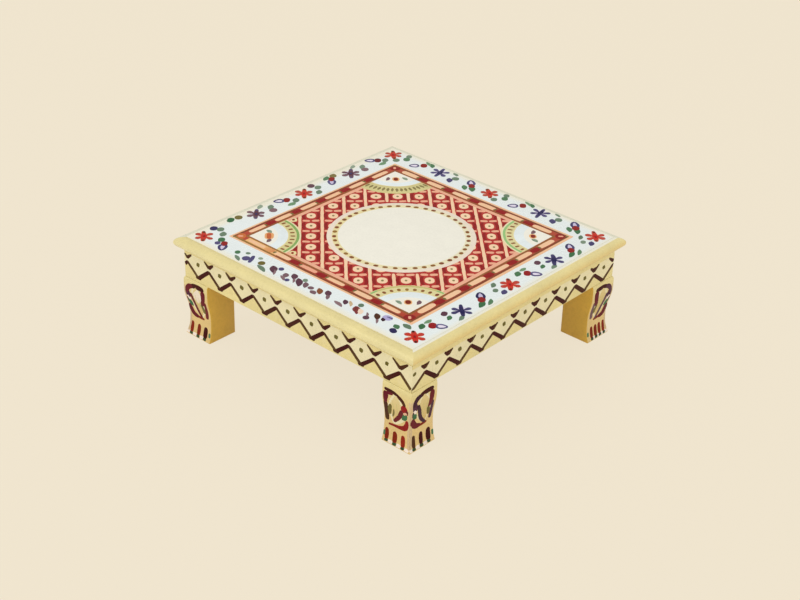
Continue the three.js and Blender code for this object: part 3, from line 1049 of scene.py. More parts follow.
def touches(pots, rows, shift=(0.0, 0.0), spread_out=0.8):
    """Single touches of the brush, from paint, place, length, width, slant in degrees and tone.

    Each lies a hair above the one before. A long one is a pointed leaf and a short one an oval.
    """
    for order, (pot, x, y, length, width, degrees, tone) in enumerate(rows):
        middle = (x + shift[0], y + shift[1])
        angle, base = math.radians(degrees), 0.0015 * order
        shown = min(1.0, tone + 0.35 * far_tone(*middle))
        if length > 1.45 * width:
            size = (length * 1.1 + spread_out, width + spread_out)
            pots[pot].leaf(middle, size, angle, 0.05, base, (shown, shown))
        else:
            pots[pot].dab(middle, (length + spread_out, width + spread_out), angle, base, shown, 9)


# Half of the border's right and back sides, between two red stars, and both halves of its left side
RIGHT_TOUCHES = (
    ("sage", 121.3, -11.7, 8.5, 4.6, -62, 0.0),
    ("sage", 129.2, -17.5, 7.0, 5.2, -60, 0.2),
    ("indigo", 136.2, -14.6, 8.5, 5.2, -62, 0.25),
    ("green", 138.7, -37.0, 10.5, 4.4, -60, 0.4),
    ("green", 135.8, -45.0, 12.5, 5.8, -65, 0.0),
    ("plum", 123.8, -80.8, 8.0, 6.2, -60, 0.1),
    ("green", 131.2, -83.3, 7.5, 5.0, -60, 0.2),
    ("sage", 138.7, -75.8, 9.0, 5.0, -70, 0.2),
    ("green", 123.8, -110.8, 9.0, 5.8, -60, 0.2),
    ("green", 122.1, -100.8, 8.5, 4.4, -88, 0.9),
)
BACK_TOUCHES = (
    ("sage", -116.0, 139.0, 7.5, 6.2, -60, 0.0),
    ("green", -113.0, 132.0, 8.2, 6.2, -50, 0.2),
    ("sage", -119.6, 123.0, 7.5, 6.2, -60, 0.0),
    ("green", -89.6, 142.0, 12.0, 5.2, -45, 0.7),
    ("green", -84.2, 139.6, 9.0, 4.6, -50, 0.1),
    ("sage", -53.3, 142.0, 8.5, 5.2, -45, 0.2),
    ("sage", -46.7, 132.9, 7.5, 6.2, -45, 0.0),
    ("indigo", -49.2, 125.8, 9.2, 5.8, -50, 0.2),
    ("green", -20.0, 126.3, 11.0, 5.4, -45, 0.0),
    ("green", -27.5, 123.8, 9.5, 4.8, -45, 0.2),
)
LEFT_TOUCHES = (
    ("green", -139.0, -91.3, 8.5, 6.2, -55, 0.0),
    ("olive", -137.4, -82.5, 7.5, 6.8, -50, 0.0),
    ("plum", -125.3, -47.9, 7.8, 7.0, -50, 0.6),
    ("plum", -127.0, 83.3, 7.8, 7.0, -50, 0.6),
    ("sage", -132.4, -45.4, 8.5, 5.2, -55, 0.1),
    ("sage", -134.0, 85.8, 8.5, 5.2, -55, 0.1),
    ("sage", -140.7, -52.5, 8.5, 4.8, -55, 0.8),
    ("sage", -141.4, 78.3, 8.5, 4.8, -55, 0.6),
    ("sage", -125.8, -17.5, 8.5, 5.2, -55, 0.0),
    ("sage", -127.8, 114.2, 8.5, 5.2, -55, 0.0),
    ("green", -122.8, -25.8, 8.5, 4.4, -88, 0.8),
    ("green", -124.5, 106.7, 8.5, 4.4, -88, 0.8),
    ("olive", -139.5, 48.3, 9.0, 6.2, -60, 0.2),
    ("green", -140.6, 39.2, 9.0, 5.2, -60, 0.2),
    ("indigo", -137.0, -114.6, 8.0, 6.2, -50, 0.0),
    ("plum", -138.3, 16.3, 8.0, 6.2, -50, 0.0),
    ("sage", -130.8, -111.3, 7.5, 5.4, -55, 0.0),
    ("sage", -130.8, 18.8, 7.5, 5.4, -55, 0.0),
    ("sage", -122.4, -116.7, 8.0, 5.0, -55, 0.1),
    ("sage", -122.8, 11.7, 8.0, 5.0, -55, 0.1),
)
# The front of the border, where most touches have run together
FRONT_TOUCHES = (
    ("green", -114.6, -124.5, 7.5, 5.2, -45, 0.0),
    ("indigo", -112.3, -131.8, 5.4, 4.2, -45, 0.5),
    ("green", -85.8, -130.7, 5.4, 4.2, -45, 0.1),
    ("sage", -78.0, -138.8, 9.5, 3.4, -25, 0.3),
    ("sage", -77.3, -125.3, 3.8, 3.2, 0, 0.1),
    ("indigo", -71.5, -133.4, 7.4, 6.6, -45, 0.4),
    ("sage", -61.5, -124.2, 3.6, 3.2, 0, 0.8),
    ("olive", -54.6, -129.9, 6.4, 5.2, -45, 0.0),
    ("sage", -47.7, -137.2, 13.0, 4.0, -20, 0.1),
    ("plum", -34.6, -133.0, 9.0, 1.8, -50, 0.9),
    ("plum", -39.2, -130.3, 11.0, 6.2, -45, 0.0),
    ("indigo", -33.8, -124.9, 5.0, 3.6, -45, 0.5),
    ("plum", -23.0, -130.3, 6.4, 4.4, -50, 0.6),
    ("plum", -15.8, -126.5, 8.4, 4.8, -45, 0.1),
    ("indigo", -15.8, -135.3, 4.2, 3.6, -45, 0.4),
    ("plum", -11.0, -131.6, 7.4, 1.6, -50, 0.9),
    ("plum", -21.6, -135.6, 8.0, 2.0, -30, 0.8),
    ("plum", -5.4, -131.1, 12.6, 6.2, -45, 0.0),
    ("sage", -3.5, -124.2, 4.6, 3.2, -45, 0.4),
    ("plum", 2.3, -130.3, 8.4, 3.4, -50, 0.5),
    ("plum", 10.0, -130.3, 4.8, 4.2, 0, 0.6),
    ("plum", 16.5, -134.9, 6.4, 4.2, -20, 0.5),
    ("russet", 19.2, -129.5, 9.0, 4.4, -45, 0.1),
    ("plum", 27.3, -126.8, 8.4, 4.4, -45, 0.1),
    ("plum", 31.5, -131.5, 7.5, 2.2, -50, 0.7),
    ("plum", 46.4, -133.6, 10.5, 2.8, -15, 0.9),
    ("aubergine", 48.6, -127.2, 6.6, 3.2, -50, 0.5),
    ("dun", 54.0, -125.6, 8.0, 1.8, -45, 0.0),
    ("sage", 62.8, -121.3, 5.4, 4.0, -45, 0.0),
    ("blush", 69.0, -130.0, 8.0, 4.6, -45, 0.5),
    ("wine", 63.9, -129.4, 8.8, 5.6, -50, 1.0),
    ("maroon", 63.0, -128.6, 5.4, 2.8, -50, 0.3),
    ("wine", 68.0, -133.0, 4.6, 2.2, -45, 1.0),
    ("plum", 80.0, -133.4, 5.2, 4.4, -45, 0.1),
    ("plum", 77.2, -129.4, 6.0, 1.0, -50, 0.9),
    ("plum", 90.0, -130.6, 8.0, 1.2, -50, 1.0),
    ("maroon", 85.4, -125.7, 8.8, 4.2, -45, 0.2),
    ("lavender", 93.6, -120.7, 8.6, 6.4, 0, 0.1),
    ("indigo", 95.0, -120.0, 5.4, 3.8, 0, 0.8),
    ("aubergine", 92.6, -125.7, 4.4, 3.0, -45, 0.0),
    ("green", 108.8, -126.5, 6.4, 4.4, -30, 0.2),
    ("indigo", 111.5, -133.0, 7.4, 5.4, -30, 0.1),
    ("sage", 115.4, -119.9, 8.5, 4.4, -10, 0.2),
)


class Along:
    """Turns distance along a side and offset outwards into places on the board."""

    def __init__(self, turn):
        self.turn = turn
        self.ahead = np.array([math.cos(turn), math.sin(turn)])
        self.out = np.array([-self.ahead[1], self.ahead[0]])

    def __call__(self, place):
        return place[0] * self.ahead + place[1] * self.out


class STOOL_OT_border(bpy.types.Operator):
    """Flower border: red and blue star flowers with sprigs and buds between them"""

    bl_idname = "stool.border"
    bl_label = "Flower border"

    def execute(self, context):
        line = sizes().flower_line / MM
        half = line / 2
        red = ("vermilion", "maroon", "blush")
        blue = ("indigo", "indigo", "lavender")
        muted = ("plum", "indigo", "lavender")
        pots = defaultdict(Painting)
        right = [(line, 3 - line), (line, 0), (line, line)]
        left = [(-line, line), (-line, 0), (-line, -line)]
        for x, y in (*right, (0, line), *left):
            star(pots, red, x, y)
        for y in (-half, half):
            star(pots, blue, line, y)
            star(pots, muted, -line, y)
        for x in (-half, half):
            star(pots, blue, x - 1.6, line + 2, math.radians(-75))
        slip = [(-70, -125, 3.4), (-66.5, -131, 4.4), (-63.5, -137.2, 3.2)]
        pots["indigo"].stroke(slip, 0.05, (0.5, 0.7), 12)
        for step in (0, line):
            touches(pots, RIGHT_TOUCHES, (0, step), 0.1)
            bud(pots, (131, step - 39), (125.7, step - 34.1))
            bud(pots, (129.6, step - 103.3), (136.4, step - 98.5), "crimson", True)
            touches(pots, BACK_TOUCHES, (step, step / line))
            bud(pots, (step - 24.2, 131.9), (step - 29.3, 137.0))
            bud(pots, (step - 90.4, 133.5), (step - 97.6, 126.3), "crimson", True)
        touches(pots, LEFT_TOUCHES, spread_out=1.3)
        bud(pots, (-132.0, -23.3), (-136.0, -30.4), "crimson", True)
        bud(pots, (-132.8, 108.8), (-138.6, 102.6), "wine", True)
        bud(pots, (-134.5, 42.0), (-129.2, 37.2))
        bud(pots, (-107.0, -128.4), (-102.7, -134.4))
        touches(pots, FRONT_TOUCHES, spread_out=1.3)
        make_on_top("border", pots)
        return {"FINISHED"}


class STOOL_OT_frame(bpy.types.Operator):
    """Frame of the panel: a rust band between two lines, with crimson blocks and pale bars in turn"""

    bl_idname = "stool.frame"
    bl_label = "Painted frame"

    def execute(self, context):
        outer, inner = sizes().frame_outer / MM, sizes().frame_inner / MM
        pots = defaultdict(Painting)
        grown = np.array([0.3, 0.2])

        def wider(loop, times=1):
            """The loop with its right and back sides a little further out."""
            return loop + np.where(loop > 1, grown * times, 0)

        pots["rust"].band(square_rays(inner, 8), wider(square_rays(outer, 8)), COVER)
        margin = (wider(square_rays(outer - 0.3, 8)), wider(square_rays(outer + 2.2, 8), 4))
        pots["peach"].band(*margin, 0.1, tone=0.8)
        bar = inner + 5.5
        for side in range(4):
            at = Along(side * math.pi / 2)
            front = side == 2

            def faded(along):
                """Share by which the paint has turned orange: most at the left end of the front."""
                return float(np.clip((along - 30) / 50, 0, 1)) if front else 0.0

            def line(pot, offset, width, tone):
                """A line along the side, in eight strokes."""
                for share in range(8):
                    ends = (np.array([share, share + 1]) / 4 - 1) * (offset + width / 3)
                    shown = min(1, tone + faded(ends.mean()))
                    marks = [(*at((u, offset)), width) for u in ends]
                    pots[pot].stroke(marks, COVER, (shown, shown), 12, steady=0.6)

            def edges(run, offsets):
                """Two lines of places along the side, one at each offset."""
                return [np.array([at((u, offset)) for u in run]) for offset in offsets]

            inner_line = edges(np.linspace(-57, 57, 9), (inner, inner - 4.2))
            pots["salmon"].band(*inner_line, 0.215, GROUND, 0.4, closed=False)
            line("russet", inner + 1.5, 1.9, 0.5)
            line("russet", outer - 1.3 + (grown[1], 0, 0, grown[0])[side], 2.5, 0.1)
            broad = (1.1, 0.0, 0.0, 0.9)[side]
            if front:
                worn = edges(np.linspace(56, 98, 5), (outer - 2.2, inner + 2.2))
                pots["orange"].band(*worn, COVER + 0.02, COVER, 0.9, closed=False)
            for block in (-68, -34, 0, 34, 68):
                tone = faded(block)
                ends = [(*at((block + u, bar)), 7.8) for u in (-5.8, 5.8)]
                pots["orange" if tone > 0.5 else "crimson"].stroke(ends, COVER + 0.02, (tone / 2, tone), 10)
                smudge = [(*at((block - 7.2, bar - 2.2)), 3.2), (*at((block - 6.6, bar + 2.0)), 2.8)]
                pots["olive"].stroke(smudge, COVER + 0.04, (0.1, 0.6), 8)
            for gap in (-85, -51, -17, 17, 51, 85):
                ends = [(*at((gap + u, bar)), w + broad) for u, w in ((-11, 4.4), (0, 5.2), (11, 4.4))]
                pot, tones = ("salmon", (0.0, 0.2)) if front and gap == 17 else ("peach", (0.5, 0.7))
                pots[pot].stroke(ends, COVER, tones, 14)
            corner = at((-(outer - 5.6), outer - 5.6))
            pot, tone = ("rust", 0.4) if side == 1 else ("crimson", 0.1)
            pots[pot].dab(corner, (11.4, 10.6), at.turn + math.pi / 4, COVER + 0.01, tone, 10)
            pots["salmon"].dab(corner, (5.2, 2.8), at.turn - math.pi / 4, ON_COVER + 0.03, 0.2)
            tip = at((-(outer - 1.2), outer - 1.2))
            pots["olive"].dab(tip, (3.2, 2.4), at.turn + math.pi / 4, COVER + 0.06, 0.6)
        make_on_top("frame", pots)
        return {"FINISHED"}


class STOOL_OT_lattice(bpy.types.Operator):
    """Lattice: diagonal lines, with rows of rings, brackets, dots and pairs of dabs between them"""

    bl_idname = "stool.lattice"
    bl_label = "Lattice"

    def execute(self, context):
        kit = sizes()
        cell, inner = kit.cell / MM, kit.frame_inner / MM
        halo, reach = kit.halo_radius / MM, kit.fan_radius / MM
        pots = defaultdict(Painting)
        pots["brick"].band(circle(halo - 5, 64), square_rays(inner + 1, 64), GROUND)
        across = np.array([1, 1]) / math.sqrt(2)
        along = np.array([1, -1]) / math.sqrt(2)
        swell = ((-0.6, 2.6), (0, 3.4), (0.6, 2.6))
        bow = ((5.6, -8.2, 2.0), (7.3, -3.8, 3.4), (7.5, 0, 3.8), (7.3, 3.8, 3.4), (5.6, 8.2, 2.0))

        def within(place, rim, disc, fan):
            """Whether a place lies inside the rim of the panel, and outside the disc and the corner fans."""
            x, y = np.abs(place)
            return max(x, y) < rim and math.hypot(x, y) > disc and math.hypot(inner - x, inner - y) > fan

        def shown(place):
            """Whether a stroke with its middle there belongs to the lattice."""
            return within(place, inner, halo - 4, reach - 6)

        step = cell * math.sqrt(2)
        for row in range(-6, 7):
            centre_line = (row + 0.5) * step * across
            for piece in range(-6, 7):
                middle = centre_line + piece * step * along
                if shown(middle):
                    marks = [(*(middle + u * step * along), w) for u, w in swell]
                    pots["peach"].stroke(marks, GROUND, (0.2, 0.3), 9, steady=0.3)
        for row in range(-7, 8):
            for column in range(-7, 8):
                if (row + column) % 2:
                    continue
                centre = np.array([row, column]) * cell
                if shown(centre):
                    pots["peach"].dab(centre, (11.4, 9.2), SLANT, GROUND, 0.05, 11)
                if shown(centre) and within(centre, inner - 5, halo + 2, reach + 2):
                    pots["olive"].dab(centre, (3.3, 2.8), SLANT, GROUND + 0.06, 0.7, 7)
                for side in (-1, 1):
                    marks = [(*(centre + side * p * across + q * along), w) for p, q, w in bow]
                    if shown(marks[2][:2]):
                        pots["crimson"].stroke(marks, GROUND, (0.0, 0.2), 11)
                    middle = centre + side * 4.5 * across + 10.7 * along
                    if shown(middle):
                        tilt = SLANT + math.pi / 2 + side * 0.12
                        pots["salmon"].dab(middle, (7.6, 3.9), tilt, GROUND, 0.3, 9)
        make_on_top("lattice", pots)
        return {"FINISHED"}


class STOOL_OT_disc(bpy.types.Operator):
    """Disc in the middle: a pale ring, a straw ring with dots, and the plain cream disc"""

    bl_idname = "stool.disc"
    bl_label = "Disc"

    def execute(self, context):
        kit = sizes()
        disc, halo = kit.disc_radius / MM, kit.halo_radius / MM
        pots = defaultdict(Painting)
        pots["halo"].plate(circle(halo, 96), COVER)
        turn = np.arange(96) * 2 * math.pi / 96
        yellow = 0.45 + 0.4 * np.cos(turn - math.radians(215))
        pots["straw"].band(circle(disc - 0.6, 96), circle(disc + 5.6, 96), ON_COVER, COVER, yellow)
        pots["cream"].plate(circle(disc, 96), ON_COVER + 0.04, 0.25, COVER)
        for dot in range(kit.disc_dots):
            angle = (dot + 0.5) * 2 * math.pi / kit.disc_dots + hand.normal(0, 0.006)
            place = (disc + 3.2) * np.array([math.cos(angle), math.sin(angle)])
            pots["russet"].dab(place, (5.0, 4.0), angle + math.pi / 2, ON_COVER, hand.uniform(0, 0.8), 8)
        make_on_top("disc", pots)
        return {"FINISHED"}


# How the fans differ: tone of the outer band, paint and tone of the flower's heart, and the flower's size
FAN_LOOKS = {
    "back_right": (0.85, "crimson", 0.6, (9.4, 7.6)),
    "back_left": (0.5, "umber", 0.0, (9.4, 7.6)),
    "front_left": (0.6, "orange", 0.1, (14.0, 8.8)),
    "front_right": (0.85, "umber", 0.0, (9.4, 7.6)),
}


class STOOL_OT_fans(bpy.types.Operator):
    """Quarter fans in the corners of the panel, each with its bands, dots and a small flower"""

    bl_idname = "stool.fans"
    bl_label = "Corner fans"

    def execute(self, context):
        kit = sizes()
        inner = kit.frame_inner / MM
        pots = defaultdict(Painting)
        for corner_name, sx, sy in CORNERS:
            rayed, pale = corner_name == "back_left", corner_name == "front_right"
            band_tone, heart, heart_tone, petal = FAN_LOOKS[corner_name]
            reach = kit.fan_radius / MM + (3 if rayed else 0)
            white = 35.5 if rayed else 37
            corner = np.array([sx, sy]) * inner
            start = math.atan2(-sy, -sx) - math.pi / 4

            def polar(radius, share):
                """The place at a radius from the corner and a share of the quarter turn."""
                angle = start + np.asarray(share) * math.pi / 2
                return corner + radius * np.stack([np.cos(angle), np.sin(angle)], axis=-1)

            def sector(radius):
                """The outline of a quarter disc."""
                return np.concatenate([[corner], polar(radius, np.linspace(0, 1, 25))])

            def arc(pot, radius, width, tones, base=COVER, first=0.01, last=0.99):
                """A line round the corner, between two shares of the quarter turn."""
                marks = [(*polar(radius, share), width) for share in np.linspace(first, last, 9)]
                pots[pot].stroke(marks, base, tones, 26)

            pots["khaki"].plate(sector(reach), COVER, tone=band_tone)
            pots["white"].plate(sector(white), ON_COVER, 0.2, COVER)
            pots["cream"].plate(sector(27), ON_COVER + 0.03, 0.2, ON_COVER)
            arc("straw", white + 0.2, 1.1, (0.9, 0.9), ON_COVER)
            if pale:
                arc("khaki", reach - 1.9, 2.6, (0.0, 0.1))
                arc("lime", reach - 2.0, 2.2, (0.4, 0.8), COVER + 0.04, 0.01, 0.12)
                arc("lime", reach - 2.0, 2.2, (0.8, 0.4), COVER + 0.04, 0.88, 0.99)
            elif not rayed:
                arc("straw", reach - 0.9, 1.8, (0.3, 0.5))
                arc("lime", reach - 2.9, 2.6, (0.9, 0.8) if sy > 0 else (0.2, 0.1), COVER + 0.02)
            for dot in range(15 if rayed else 9):
                share = (dot + 0.5) / 15 if rayed else 0.06 + dot * 0.11
                spot = polar(43.6 if rayed else 41, share)
                angle = start + share * math.pi / 2
                if rayed:
                    pots["olive"].leaf(spot, (7.6, 2.9), angle, 0, ON_COVER - 0.02, (0.6, 1.0), 9)
                elif pale:
                    pots["russet"].dab(spot, (4.5, 3.3), angle, COVER, 1 - abs(dot - 4) / 4, 8)
                else:
                    pots["russet"].dab(spot, (4.8, 2.7), angle, COVER, 0.4, 8)
            flower = polar(18.5, 0.5)
            pots["orange"].dab(flower, petal, SLANT, ON_COVER + 0.03, 0.8, 10)
            pots[heart].dab(flower, (petal[0] - 2.4, 4.8), SLANT, ON_COVER + 0.09, heart_tone, 10)
            if corner_name == "front_left":
                for share in (0.06, 0.94):
                    spot = polar(reach + 4.4, share)
                    pots["straw"].dab(spot, (8.8, 7.6), SLANT, GROUND + 0.08, 0.9, 10)
                    pots["umber"].dab(spot, (4.6, 3.4), SLANT, GROUND + 0.12, 0.5, 8)
            for side, pot, slant in ((-1, "plum", -65), (1, "sage", -10)):
                middle = polar(20, 0.5 + side * 0.29)
                pots[pot].leaf(middle, (8.4, 4.2), math.radians(slant), 0.1, ON_COVER + 0.03, (0.5, 0.8), 9)
        make_on_top("fan", pots)
        return {"FINISHED"}


# The painted rails and legs


def zigzag_arm(painting, start, end, widths, tones):
    """One straight arm of a zigzag between two points, cut off square where the rail's corner comes first."""
    start, end = np.array(start, float), np.array(end, float)
    limit = RAIL_FACE + 0.1
    run = end[0] - start[0]
    shares = np.clip(np.sort([(-limit - start[0]) / run, (limit - start[0]) / run]), 0, 1)
    if shares[1] - shares[0] < 0.05:
        return
    ends = [start + share * (end - start) for share in shares]
    marks = [(*ends[0], widths[0]), (*(ends[0] + ends[1]) / 2, sum(widths) / 2), (*ends[1], widths[1])]
    blunt = [abs(place[0]) > limit - 0.5 for place in ends]
    painting.stroke(marks, 0.07, tones, 12, steady=0.7, blunt=blunt)


class STOOL_OT_rail_pattern(bpy.types.Operator):
    """Rails: ivory diamonds with dots, between a maroon zigzag and the ends of a second one above"""

    bl_idname = "stool.rail_pattern"
    bl_label = "Rail pattern"

    def execute(self, context):
        pots = defaultdict(list)
        for side in range(4):
            paint = defaultdict(Painting)
            draw_rail(paint, side % 2)
            for colour_name, painting in paint.items():
                pots[colour_name] += laid(painting, on_rail(side))
        make_painted("rails", pots)
        return {"FINISHED"}


# The zigzag of the front and back rails, and of the other two: place of a peak, fall for each millimetre, and
# levels of the valleys and peaks, of the upper zigzag's points, of the dots and of the upper end
RAIL_LINES = (
    (-141.0, 0.009, 65.9, 78.9, 82.2, 80.6, 89.3),
    (-128.6, 0.006, 64.6, 76.8, 80.0, 78.9, 85.6),
)


def draw_rail(paint, across):
    """The pattern of one rail, which falls a little towards one end, as one drawn by hand does."""
    pitch = sizes().zigzag_pitch / MM
    first, fall, valley, peak, upper, dot_level, ceiling = RAIL_LINES[across]
    way = 1 if across else -1
    slope = (peak - valley) / (pitch / 2)
    peaks = first + pitch * np.arange(-1, 11)
    valleys = peaks + pitch / 2
    heads = (ceiling - upper + fall * peaks) / slope
    edges = np.concatenate([peaks, valleys, peaks - heads, peaks + heads, [-RAIL_FACE, RAIL_FACE]])
    edges = np.unique(edges[np.abs(edges) <= RAIL_FACE])
    gap = np.abs(edges[:, None] - peaks).min(axis=1)
    low = pairs(edges, peak - slope * gap - fall * edges)
    high = pairs(edges, np.minimum(upper + slope * gap - fall * edges, ceiling))
    paint["ivory"].band(high, low, 0.08, closed=False, tone=0.0)
    for place, head in zip(peaks, heads):
        drop = fall * place
        for arm in (-1, 1):
            foot = (place + arm * pitch / 2, valley - fall * (place + arm * pitch / 2))
            widths, tones = ((3.8, 4.5), (0.0, 0.1)) if arm == way else ((3.4, 3.7), (0.2, 0.8))
            zigzag_arm(paint["maroon"], (place - arm * 0.6, peak - drop), foot, widths, tones)
            end = (place + arm * (head - 0.6), ceiling - 0.6)
            widths, tones = ((4.6, 2.0), (0.0, 0.2)) if arm != way else ((4.2, 1.8), (0.1, 0.8))
            zigzag_arm(paint["maroon"], (place - arm * 0.6, upper - drop), end, widths, tones)
        if abs(place) < RAIL_FACE - 4:
            paint["straw"].dab((place, valley + 3.4 - drop), (6.0, 4.6), 0, 0.0, 0.9, 9)
            fill = min(5.4, head - 0.8) if across else 2.6
            top = upper - drop + fill * slope
            outline = ((place - fill, top), (place, upper - 0.8 - drop), (place + fill, top))
            paint["maroon"].plate(outline, 0.15, 0.8, tone=0.1)
    for place in valleys:
        if abs(place) < RAIL_FACE - 4:
            paint["maroon"].dab((place, valley + 0.3 - fall * place), (7.6, 3.5), 0, 0.08, 0.15, 9)
            level = dot_level - fall * place
            paint["olive"].leaf((place, level), (5.6, 4.6), -0.6 * way, 0, 0.08, (0.0, 0.4), 8)
    if across:
        paint["olive"].dab((3.0 - RAIL_FACE, dot_level + 1.4), (4.4, 3.8), 0.4, 0.08, 0.2, 8)


def on_leg(corner, second_face):
    """Flat coordinates laid on an outer face of a leg: across from its inner edge, up, and out."""
    _, sx, sy = corner
    profile = leg_profile()

    def lay(points):
        face = np.interp(points[:, 1], profile[:, 1], profile[:, 0])
        out = face + points[:, 2]
        side = LEG_INNER + drawn_in(points, ((0, face - LEG_INNER + CORNER_LAP),))[:, 0]
        x, y = (out, side) if second_face else (side, out)
        return np.stack([sx * x, sy * y, points[:, 1]], axis=1)

    return lay


def edge_line(pots):
    """A pale line up the corner of a leg, beside its edge."""
    profile = leg_profile()
    levels = np.array([3, 10, 18, 26, 36, 46, 54])
    outer = np.interp(levels, profile[:, 1], profile[:, 0]) - LEG_INNER
    pots["dun"].stroke([(t - 1.6, z, 2.4) for t, z in zip(outer, levels)], 0.0, (0.2, 0.9), 30, steady=0.6)


def paint_leaf(pots, rise):
    """The gold leaf in the middle of a leg, pale round its rim, with two thin veins."""
    middle = np.array([14.6, 38.4 + rise])
    angle = math.pi / 2 - 0.15
    pots["straw"].leaf(middle, (35, 19), angle, -0.03, 0, (0.1, 0.3), 16)
    pots["leaf_gold"].leaf(middle, (31, 14.5), angle, -0.03, 0.05, (0.0, 0.8), 16)
    for aside, length in ((-2.2, 6.0), (2.2, 7.0)):
        marks = [(*(middle + (aside + 0.3 * u, length * u)), 0.9) for u in (-1, 0, 1)]
        pots["khaki"].stroke(marks, 0.12, (0.0, 0.4), 10)


def paint_toes(pots, bars, rise=0.0, aside=0.0):
    """Three bars down to the floor, green toes under them and white between."""
    for place, (pot, tone, width) in zip(np.linspace(3.9, 23.0, len(bars)), bars):
        top, foot = place + aside, place + aside * 0.8 + 1.2
        marks = [(top, 13.6 + rise, width * 0.8), ((top + foot) / 2, 8.6, width), (foot, 2.6, width * 0.9)]
        pots[pot].stroke(marks, 0.02, (tone, tone), 12)
        pots["pine"].dab((foot + 0.2, 2.1), (4.6, 2.8), 0.1, 0.05, 0.1, 8)
        pots["blush"].dab((foot + 14.4 / len(bars), 2.2), (5.4, 3.2), 0.0, 0.0, 0, 8)
    pots["green"].dab((1.8, 8.0), (5.0, 2.6), math.pi / 2, 0.04, 0.5, 8)


def paint_red_leg(pots):
    """The front of the near leg: strokes of red, wine and brown about the leaf."""
    dark, wine, red, moss = pots["maroon"], pots["wine"], pots["crimson"], pots["olive"]
    edge_line(pots)
    paint_leaf(pots, 0)
    rising = [(2.4, 55.2, 3.2), (8, 55.6, 3.4), (14, 55.2, 3.6)]
    falling = [(19, 53.6, 4.0), (23.4, 50.8, 4.2), (26.6, 46.6, 3.6)]
    dark.stroke(rising + falling, 0.06, (0.0, 0.25), 18)
    side = [(3.4, 53.4, 4.6), (4.2, 49.6, 5.8), (3.8, 45.0, 4.6), (3.6, 41.0, 3.4)]
    wine.stroke(side, 0.03, (0.0, 0.2), 12)
    wine.stroke([(5.0, 52.8, 4.2), (8.8, 52.8, 3.6), (12.4, 53.4, 2.4)], 0.03, (0.0, 0.3), 10)
    dark.stroke([(3.8, 42.6, 4.6), (3.7, 38.6, 4.8), (3.6, 30.0, 4.9), (4.0, 21.6, 4.6)], 0.0, (0.1, 0.5), 14)
    moss.stroke([(9.8, 41.4, 2.8), (8.2, 35.4, 5.0), (6.4, 29.0, 3.2)], 0.07, (0.0, 0.4), 10)
    moss.stroke([(12.6, 37.6, 1.8), (11.8, 32.6, 2.8), (10.4, 28.0, 1.8)], 0.1, (0.4, 0.7), 9)
    red.dab((25.4, 43.0), (8.8, 7.2), 1.0, 0.05, 0.0, 10)
    wine.dab((28.0, 40.6), (6.4, 3.6), 1.3, 0.04, 0.2, 9)
    pots["salmon"].dab((26.2, 38.0), (5.4, 4.2), 0.9, 0.05, 0.9, 8)
    pots["green"].leaf((24.4, 33.6), (10.4, 5.8), 0.9, 0, 0.06, (0.1, 0.3), 9)
    wine.stroke([(22.6, 40.4, 3.8), (18.0, 31.6, 4.8), (11.6, 23.4, 3.2)], 0.1, (0.2, 0.5), 14)
    wedge = [(27.2, 31.0, 3.6), (26.8, 26.0, 5.6), (24.2, 21.8, 5.8)]
    tail = [(18.6, 20.0, 4.0), (12.4, 19.4, 2.8), (5.5, 18.6, 2.2)]
    red.stroke(wedge + tail, 0.06, (0.0, 0.7), 22)
    paint_toes(pots, (("umber", 0.0, 4.9), ("umber", 0.1, 4.9), ("umber", 0.4, 4.9)))


def paint_deep_leg(pots, bars, inks):
    """The other faces: the same figure a little higher, in purple, wine and near black."""
    dark, wine, moss = pots[inks[0]], pots[inks[1]], pots["olive"]
    edge_line(pots)
    paint_leaf(pots, 2.6)
    brow = [(5.0, 56.8, 4.4), (11, 57.2, 4.8), (18, 57.0, 4.8), (23, 55.6, 4.4)]
    pots["maroon"].stroke(brow, 0.06, (0.0, 0.1), 16)
    falling = [(21, 56.2, 4.6), (26.0, 54.2, 5.4), (28.8, 50.6, 5.4), (29.4, 46.0, 4.4)]
    dark.stroke(falling, 0.08, (0.0, 0.2), 14)
    side = [(6.8, 55.8, 6.4), (6.8, 50.0, 6.6), (8.0, 43.5, 5.6), (9.8, 38.2, 4.0)]
    wine.stroke(side, 0.09, (0.0, 0.3), 14)
    dark.stroke([(5.0, 44.0, 4.2), (4.6, 34.0, 4.6), (5.2, 24.0, 4.4)], 0.0, (0.4, 0.7), 12)
    moss.stroke([(10.6, 39.6, 2.6), (9.0, 34.6, 4.4), (7.6, 29.4, 2.8)], 0.1, (0.1, 0.5), 10)
    pots["plum"].dab((28.2, 46.2), (9.8, 7.0), 1.2, 0.06, 0.0, 10)
    pots["blush"].dab((27.4, 41.4), (5.4, 3.8), 0.9, 0.08, 0.0, 8)
    dark.dab((29.0, 38.6), (7.0, 3.4), 1.4, 0.05, 0.1, 9)
    pots["green"].leaf((26.6, 36.0), (9.4, 5.4), 0.9, 0, 0.07, (0.0, 0.3), 9)
    sweep = [(24.4, 47.6, 3.6), (20.8, 38.4, 4.4), (16.8, 29.6, 4.2), (11.6, 22.8, 3.0)]
    dark.stroke(sweep, 0.11, (0.1, 0.4), 16)
    wedge = [(28.8, 33.8, 4.2), (27.4, 28.2, 6.2), (23.8, 23.9, 5.6), (17.0, 22.6, 3.6)]
    wine.stroke(wedge, 0.07, (0.0, 0.2), 16)
    pots["umber"].stroke([(21.0, 22.8, 2.8), (15.0, 22.4, 2.8), (9.2, 22.4, 2.4)], 0.04, (0.0, 0.2), 10)
    paint_toes(pots, bars, 1.4, 3.2)


